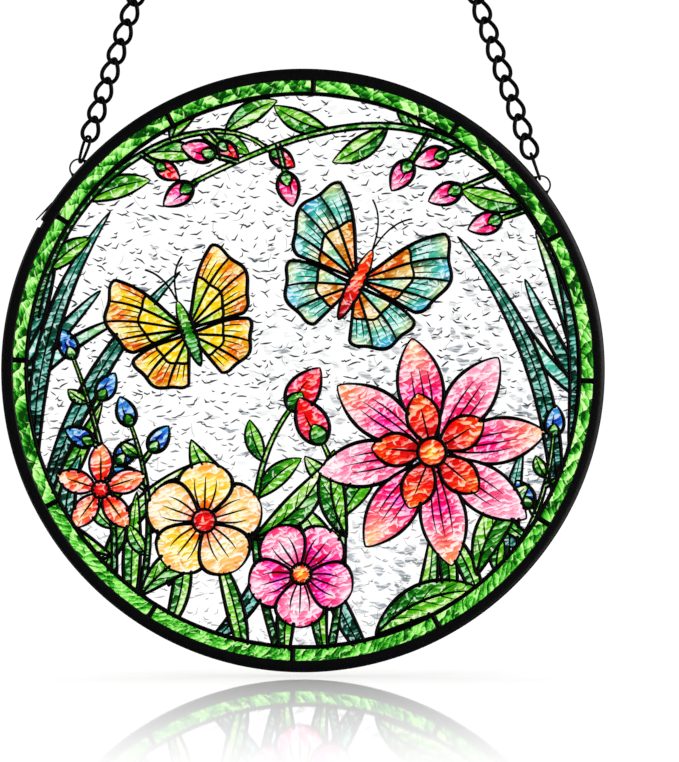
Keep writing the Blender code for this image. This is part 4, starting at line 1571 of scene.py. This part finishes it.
@dataclass(frozen=True)
class Leading:
    """The black network: border ring, spacer bars and the picture's raised lines."""

    disc: Disc
    picture: Picture
    spacing: float = 0.85 * MM
    foot: float = 0.3 * MM
    sink: float = 0.15 * MM
    flare: float = 0.35
    solder_reach: float = 0.2 * MM

    def dome(self, width: float, steps: int = 9) -> np.ndarray:
        """A raised line's section from one foot over its crown to the other, as (across, depth)."""
        low, top = self.disc.glass / 2 - self.sink, self.disc.line_top
        turns = np.linspace(0, np.pi, steps)
        return np.column_stack([np.cos(turns) * width / 2, low + (top - low) * np.sin(turns) ** 0.75])

    def section(self, width: float) -> np.ndarray:
        """A line on both faces, joined by the core between two panes."""
        dome, core = self.dome(width), self.disc.core / 2
        front = np.column_stack([dome[:, 0], -dome[:, 1]])
        back = np.column_stack([-dome[:, 0], dome[:, 1]])
        low = self.disc.glass / 2 - self.sink
        return np.concatenate([front, [(-core, -low), (-core, low)], back, [(core, low), (core, -low)]])

    def ring(self, body: Body) -> None:
        """Adds the border ring."""
        section = self.section(self.disc.ring_line)
        profile = np.column_stack([section[:, 0] + self.disc.ring_middle, section[:, 1]])
        points, faces = turned(profile, np.linspace(0, 2 * math.pi, 360, endpoint=False))
        body.take(points, [face[::-1] for face in faces])

    def bars(self, body: Body) -> None:
        """Adds the spacer bars, each a little wider where it is soldered at its ends."""
        inner, outer = self.disc.ring_middle, self.disc.rim_inside + self.solder_reach
        for index in range(self.disc.strips):
            angle = 2 * math.pi * index / self.disc.strips
            out = np.array([math.cos(angle), 0, math.sin(angle)])
            aside = np.array([-math.sin(angle), 0, math.cos(angle)])
            rows = []
            for share in np.linspace(0, 1, 15):
                flare = 1 + self.flare * abs(2 * share - 1) ** 6
                section = self.section(self.disc.bar_line * flare)
                middle = out * (inner + (outer - inner) * share)
                rows.append(middle + section[:, :1] * aside + section[:, 1:] * np.array([0, 1, 0]))
            body.take(np.concatenate(rows), tube_faces(len(rows), len(rows[0]), False))

    def bead(self, body: Body, path: np.ndarray, widths: np.ndarray, closed: bool) -> None:
        """Adds one raised line with rounded ends.

        Args:
            body: What it is added to.
            path: Its middle line in the disc's plane, in metres.
            widths: Its width at each point.
            closed: Whether it runs back into its start.
        """
        if closed:
            ahead = unit(np.roll(path, -1, axis=0) - np.roll(path, 1, axis=0))
        else:
            ahead = unit(np.gradient(path, axis=0))
        scale = np.ones(len(path))
        if not closed:
            turns = np.radians([78, 50, 24])
            before = path[0] - ahead[0] * np.sin(turns)[:, None] * widths[0] / 2
            after = path[-1] + ahead[-1] * np.sin(turns[::-1])[:, None] * widths[-1] / 2
            path = np.concatenate([before, path, after])
            ahead = np.concatenate([np.repeat(ahead[:1], 3, 0), ahead, np.repeat(ahead[-1:], 3, 0)])
            widths = np.concatenate([np.full(3, widths[0]), widths, np.full(3, widths[-1])])
            scale = np.concatenate([np.cos(turns), scale, np.cos(turns[::-1])])
        turns = np.linspace(0, np.pi, 6 if widths.max() > Stroke.VEIN.value * 1.2 else 4)
        low = self.disc.glass / 2 - self.foot
        full = self.disc.line_top - self.disc.glass / 2
        rise = full * np.clip(widths / Stroke.LEAD.value, 0, 1) ** 0.6 * scale
        across = np.cos(turns)[None, :] * (widths * scale / 2)[:, None]
        depth = self.disc.glass / 2 + rise[:, None] * np.sin(turns)[None, :] ** 0.8
        across = np.concatenate([across, across[:, -1:], across[:, :1]], axis=1)
        depth = np.concatenate([depth, np.full((len(path), 2), low)], axis=1)
        flat = path[:, None, :] + across[:, :, None] * square_to(ahead)[:, None, :]
        points = np.stack([flat[:, :, 0], -depth, flat[:, :, 1]], axis=2)
        faces = tube_faces(len(path), points.shape[1], closed)
        body.take(points.reshape(-1, 3), [face[::-1] for face in faces])

    def even(self, line: Line) -> tuple[np.ndarray, np.ndarray]:
        """A line's points at even steps, in metres, and its width at each, a little uneven as by hand."""
        path = line.path * self.disc.field
        if line.closed:
            path = np.concatenate([path, path[:1]])
        run = np.concatenate([[0], np.cumsum(np.linalg.norm(np.diff(path, axis=0), axis=1))])
        count = max(4, int(math.ceil(run[-1] / self.spacing)) + 1)
        at = np.linspace(0, run[-1], count)
        even = np.column_stack([np.interp(at, run, path[:, c]) for c in (0, 1)])
        share = at / run[-1]
        ends = line.start + (1 - line.start) * np.clip(share / 0.3, 0, 1)
        ends = np.minimum(ends, line.end + (1 - line.end) * np.clip((1 - share) / 0.35, 0, 1))
        hand = 1 + 0.07 * np.sin(at / (6.3 * MM) + 40 * path[0, 0] / MM) + 0.04 * np.sin(at / (1.9 * MM))
        if line.closed:
            return even[:-1], (line.width * hand)[:-1]
        return even, line.width * ends * hand

    def picture_lines(self, contours: Body, veins: Body) -> None:
        """Adds the picture's lines, leaving out what later motifs and the border hide.

        Args:
            contours: Takes the broad ones.
            veins: Takes the thin ones.
        """
        motifs = self.picture.motifs()
        covers = [[ring * self.disc.field for ring in motif.covers()] for motif in motifs]
        for number, motif in enumerate(motifs):
            over = [ring for rings in covers[number + 1:] for ring in rings]
            for line in motif.lines():
                body = contours if line.width > Stroke.VEIN.value else veins
                path, widths = self.even(line)
                shown = np.linalg.norm(path, axis=1) < self.disc.ring_middle
                for ring in over:
                    shown &= ~inside(path, ring)
                if shown.all():
                    self.bead(body, path, widths, line.closed)
                    continue
                if line.closed:
                    start = int(np.argmin(shown))
                    path, widths, shown = (np.roll(a, -start, axis=0) for a in (path, widths, shown))
                edges = np.flatnonzero(np.diff(np.concatenate([[False], shown, [False]]).astype(int)))
                for first, last in zip(edges[::2], edges[1::2]):
                    low, high = max(first - 1, 0), min(last + 1, len(path))
                    if high - low >= 3:
                        self.bead(body, path[low:high], widths[low:high], False)

    def build(self) -> list[bpy.types.Object]:
        """Makes the network in three pieces: the border's, the picture's contours and its veins."""
        border, contours, veins = Body(), Body(), Body()
        self.ring(border)
        self.bars(border)
        self.picture_lines(contours, veins)
        material = LINE_BLACK.material()
        made = {"border_lines": border, "contour_lines": contours, "vein_lines": veins}
        return [make_piece(name, self.disc.stand(body), material, ["leading"], 60)
                for name, body in made.items()]


# The hanging gear

@dataclass(frozen=True)
class Hanger:
    """The round ring that a hook holds, cut and closed like a wound wire ring."""

    inside: float = 7.0 * MM
    wire: float = 1.2 * MM
    steps: int = 96
    sides: int = 16
    cut: float = math.radians(62)
    gap: float = 0.12 * MM

    def centre(self) -> Vector:
        """The ring's middle."""
        return Vector((0, 0, -self.inside))

    def build(self) -> list[bpy.types.Object]:
        """Bends the wire round and leaves its two ends nearly closed."""
        radius = self.inside + self.wire / 2
        shy = self.gap / 2 / radius
        frames = []
        for angle in np.linspace(self.cut + shy, self.cut + 2 * math.pi - shy, self.steps):
            out = np.array([math.cos(angle), 0, math.sin(angle)])
            frames.append((np.array(self.centre()) + out * radius, out, np.array([0.0, -1.0, 0.0])))
        body = Body()
        body.take(*sweep(frames, [self.wire / 2] * self.steps, self.sides, False))
        return [make_piece("wire_ring", body, CHAIN_BLACK.material(), ["hanging_ring"])]


@dataclass(frozen=True)
class ChainRun:
    """One chain's line from the hanging ring to its loop, and the long link at its foot."""

    disc: Disc
    side: Side
    links: int
    end_turns: tuple[float, float]
    hanger: Hanger
    wire: float = 1.4 * MM
    pitch: float = 6.8 * MM
    width: float = 6.8 * MM
    twist: float = math.radians(40)
    roll: float = math.radians(24)
    fullness: float = 0.86
    taper: float = 0.08
    bite: float = 0.02 * MM
    gap: float = 0.3 * MM
    loop_angle: float = math.radians(50)
    steps: int = 44
    sides: int = 12
    end_length: float = 10.0 * MM
    end_width: float = 4.5 * MM
    end_wire: float = 1.0 * MM
    end_fullness: float = 0.6

    @property
    def word(self) -> str:
        """The side as a word."""
        return self.side.name.lower()

    def frame(self) -> np.ndarray:
        """A matrix with its origin at the ring's centre that runs down its own -Z to the loop."""
        ring = self.hanger.centre()
        loop = self.loop_centre()
        lean = math.atan2(loop.x - ring.x, ring.z - loop.z)
        return np.array(Matrix.Translation(ring) @ Matrix.Rotation(-lean, 4, "Y"))

    def loop_centre(self) -> Vector:
        """Where the loop's middle stands on the rim."""
        angle = math.pi / 2 - self.side.value * self.loop_angle + self.disc.turn
        reach = self.disc.radius + self.gap
        return self.disc.centre + Vector((reach * math.cos(angle), 0, reach * math.sin(angle)))

    def link_line(self, half_long: float, half_wide: float, roll: float, twist: float, fullness: float,
                  taper: float) -> list[np.ndarray]:
        """The middle line of a link: an oval wrung about its length.

        Args:
            half_long: Half its length.
            half_wide: Half its width.
            roll: How far it is turned about its length, in radians.
            twist: How much further its top is turned.
            fullness: 1 for a plain oval, and less the straighter its sides are.
            taper: How much narrower it is at its top.

        Returns:
            The points of the line.
        """
        line = []
        for angle in np.linspace(0, 2 * math.pi, self.steps, endpoint=False):
            across = half_wide * math.copysign(abs(math.cos(angle)) ** fullness, math.cos(angle))
            across *= 1 - taper * math.sin(angle)
            up = half_long * math.sin(angle)
            wrung = roll + twist * up / half_long
            line.append(np.array([across * math.cos(wrung), across * math.sin(wrung), up]))
        return line

    def link(self, line: Sequence[np.ndarray], radius: float, middle: float) -> Form:
        """Wire along a closed line, hung with its middle so far down the chain."""
        frames = []
        for i, point in enumerate(line):
            ahead = line[(i + 1) % len(line)] - line[i - 1]
            ahead = ahead / np.linalg.norm(ahead)
            out = point - ahead * point.dot(ahead)
            out = out / np.linalg.norm(out)
            frames.append((point, out, np.cross(ahead, out)))
        points, faces = sweep(frames, [radius] * len(frames), self.sides, True)
        matrix = self.frame()
        points = points - np.array([0, 0, middle])
        return points @ matrix[:3, :3].T + matrix[:3, 3], faces

    def build(self) -> list[bpy.types.Object]:
        """Makes the chain and its end link."""
        body, end = Body(), Body()
        half_long = (self.pitch + self.wire) / 2 - self.bite
        line = self.link_line(half_long, (self.width - self.wire) / 2, self.side.value * self.roll,
                              self.side.value * self.twist, self.fullness, self.taper)
        for index in range(self.links):
            middle = self.hanger.inside - self.gap + (index + 0.5) * self.pitch
            body.take(*self.link(line, self.wire / 2, middle))
        half_long = (self.end_length - self.end_wire) / 2
        top, foot = (math.radians(turn) for turn in self.end_turns)
        middle_turn, half_twist = (foot + top) / 2, (top - foot) / 2
        line = self.link_line(half_long, (self.end_width - self.end_wire) / 2, self.side.value * middle_turn,
                              self.side.value * half_twist, self.end_fullness, 0.0)
        bearing = self.hanger.inside + self.links * self.pitch - 2 * self.gap
        end.take(*self.link(line, self.end_wire / 2, bearing + half_long - self.end_wire / 2))
        material = CHAIN_BLACK.material()
        made = {"twisted_links": (body, "chain"), "long_link": (end, "end_link")}
        return [make_piece(f"{self.word}_{name}", form, material, [f"{self.word}_{solid}"])
                for name, (form, solid) in made.items()]


@dataclass(frozen=True)
class WireLoop:
    """A thin half-ring of wire soldered to the rim's outer face by both feet."""

    disc: Disc
    side: Side
    radius: float = 3.0 * MM
    wire: float = 0.6 * MM
    fillet: float = 0.9 * MM
    solder: float = 0.45 * MM
    sink: float = 0.25 * MM
    angle: float = math.radians(50)
    steps: int = 48
    sides: int = 14

    def build(self) -> list[bpy.types.Object]:
        """Bends the wire and swells its feet into their solder."""
        frames, radii = [], []
        turn = self.side.value * self.angle
        axis = np.array([math.sin(turn), 0, math.cos(turn)])
        aside = np.array([math.cos(turn), 0, -math.sin(turn)])
        low = math.asin(self.sink / self.radius)
        for bend in np.linspace(-low, math.pi + low, self.steps):
            out = aside * math.cos(bend) + axis * math.sin(bend)
            at = axis * (self.disc.radius + 0.05 * MM) + out * self.radius
            height = max(self.radius * math.sin(bend), 0.0)
            frames.append((at, out, np.array([0.0, -1.0, 0.0])))
            radii.append(self.wire / 2 + self.solder * max(0.0, 1 - height / self.fillet) ** 2)
        body = Body()
        body.take(*sweep(frames, radii, self.sides, False))
        name = self.side.name.lower()
        material = CHAIN_BLACK.material()
        return [make_piece(f"{name}_wire_loop", self.disc.stand(body), material,
                           [f"{name}_loop"])]


# The studio

@dataclass(frozen=True)
class Softbox:
    """A soft light: its place from the disc's centre, its width and height, and its power in watts."""

    name: str
    aside: tuple[float, float, float]
    size: tuple[float, float]
    power: float


@dataclass(frozen=True)
class Studio:
    """The camera, the pale floor and the soft light."""

    disc: Disc
    distance: float = 3.0
    image_width: int = 679
    image_height: int = 762
    disc_centre_column: float = 303.0
    disc_centre_row: float = 370.5
    disc_radius_pixels: float = 301.7
    floor_size: float = 8.0
    floor_gap: float = 1.3 * MM
    horizon: float = 0.70
    brightness: float = 1.04
    softboxes: tuple[Softbox, ...] = (Softbox("right_softbox", (1.30, -1.05, 0.1), (1.4, 1.6), 190),
                                      Softbox("left_softbox", (-1.45, -0.8, 0.8), (0.4, 1.0), 40))

    def metres_a_pixel(self) -> float:
        """The size of a pixel at the disc."""
        return self.disc.radius / self.disc_radius_pixels

    def camera(self) -> None:
        """Looks straight at the disc through a long lens."""
        data = bpy.data.cameras.new("camera")
        scale = self.metres_a_pixel()
        data.lens = data.sensor_width * self.distance / (self.image_height * scale)
        data.clip_end = 40
        camera = bpy.data.objects.new("camera", data)
        right = (self.image_width / 2 - self.disc_centre_column) * scale
        down = (self.image_height / 2 - self.disc_centre_row) * scale
        camera.location = self.disc.centre + Vector((right, -self.distance, -down))
        camera.rotation_euler = (math.radians(90), 0, 0)
        bpy.context.scene.collection.objects.link(camera)
        bpy.context.scene.camera = camera

    def floor(self) -> None:
        """A plain white floor just under the disc."""
        half = self.floor_size / 2
        corners = [(-half, -half, 0), (half, -half, 0), (half, half, 0), (-half, half, 0)]
        mesh = bpy.data.meshes.new("floor")
        mesh.from_pydata(corners, [], [(0, 1, 2, 3)])
        mesh.materials.append(StudioFloor().material())
        floor = bpy.data.objects.new("floor", mesh)
        floor.location = (0, 0, CAD_BOX[0].z - self.floor_gap)
        bpy.context.scene.collection.objects.link(floor)

    def world(self) -> None:
        """A bright horizon, a greyer belt above it and a bright ceiling."""
        world = bpy.data.worlds.new("studio")
        bpy.context.scene.world = world
        world.use_nodes = True
        nodes, links = world.node_tree.nodes, world.node_tree.links
        where = nodes.new("ShaderNodeTexCoord")
        parts = nodes.new("ShaderNodeSeparateXYZ")
        ramp = nodes.new("ShaderNodeValToRGB")
        links.new(where.outputs["Generated"], parts.inputs[0])
        links.new(parts.outputs["Z"], ramp.inputs[0])
        links.new(ramp.outputs[0], nodes["Background"].inputs["Color"])
        greys = ((0.0, self.horizon), (0.07, self.horizon), (0.22, 0.46), (0.5, 0.50), (0.85, 1.0))
        set_stops(ramp, [(height, (grey, grey, grey)) for height, grey in greys])
        nodes["Background"].inputs["Strength"].default_value = self.brightness / self.horizon

    def light(self, box: Softbox) -> None:
        """Sets up a softbox that only glossy surfaces show, as a long highlight."""
        data = bpy.data.lights.new(box.name, "AREA")
        data.shape = "RECTANGLE"
        data.size, data.size_y = box.size
        data.energy = box.power
        light = bpy.data.objects.new(box.name, data)
        light.location = self.disc.centre + Vector(box.aside)
        light.rotation_mode = "QUATERNION"
        light.rotation_quaternion = Vector(box.aside).to_track_quat("Z", "Y")
        light.visible_camera = False
        light.visible_diffuse = False
        light.visible_transmission = False
        bpy.context.scene.collection.objects.link(light)

    def build(self) -> None:
        """Sets up camera, floor and lights, with colours shown as they are."""
        self.camera()
        self.floor()
        self.world()
        for box in self.softboxes:
            self.light(box)
        bpy.context.scene.view_settings.view_transform = "Standard"


def main() -> None:
    """Builds and reports every piece in order."""
    logging.basicConfig(level=logging.INFO, format="%(message)s")
    disc, hanger, picture = Disc.from_frame(), Hanger(), Picture()
    Studio(disc).build()
    parts = [
        Rim(disc), BorderGlass(disc), PictureGlass(disc, picture), Leading(disc, picture), hanger,
        ChainRun(disc, Side.LEFT, links=32, end_turns=(48, 66), hanger=hanger),
        ChainRun(disc, Side.RIGHT, links=33, end_turns=(84, 90), hanger=hanger),
        WireLoop(disc, Side.LEFT), WireLoop(disc, Side.RIGHT),
    ]
    for part in parts:
        for piece in part.build():
            mesh = piece.data
            LOG.info("%s: %d points, %d faces", piece.name, len(mesh.vertices), len(mesh.polygons))


if __name__ == "__main__":
    main()
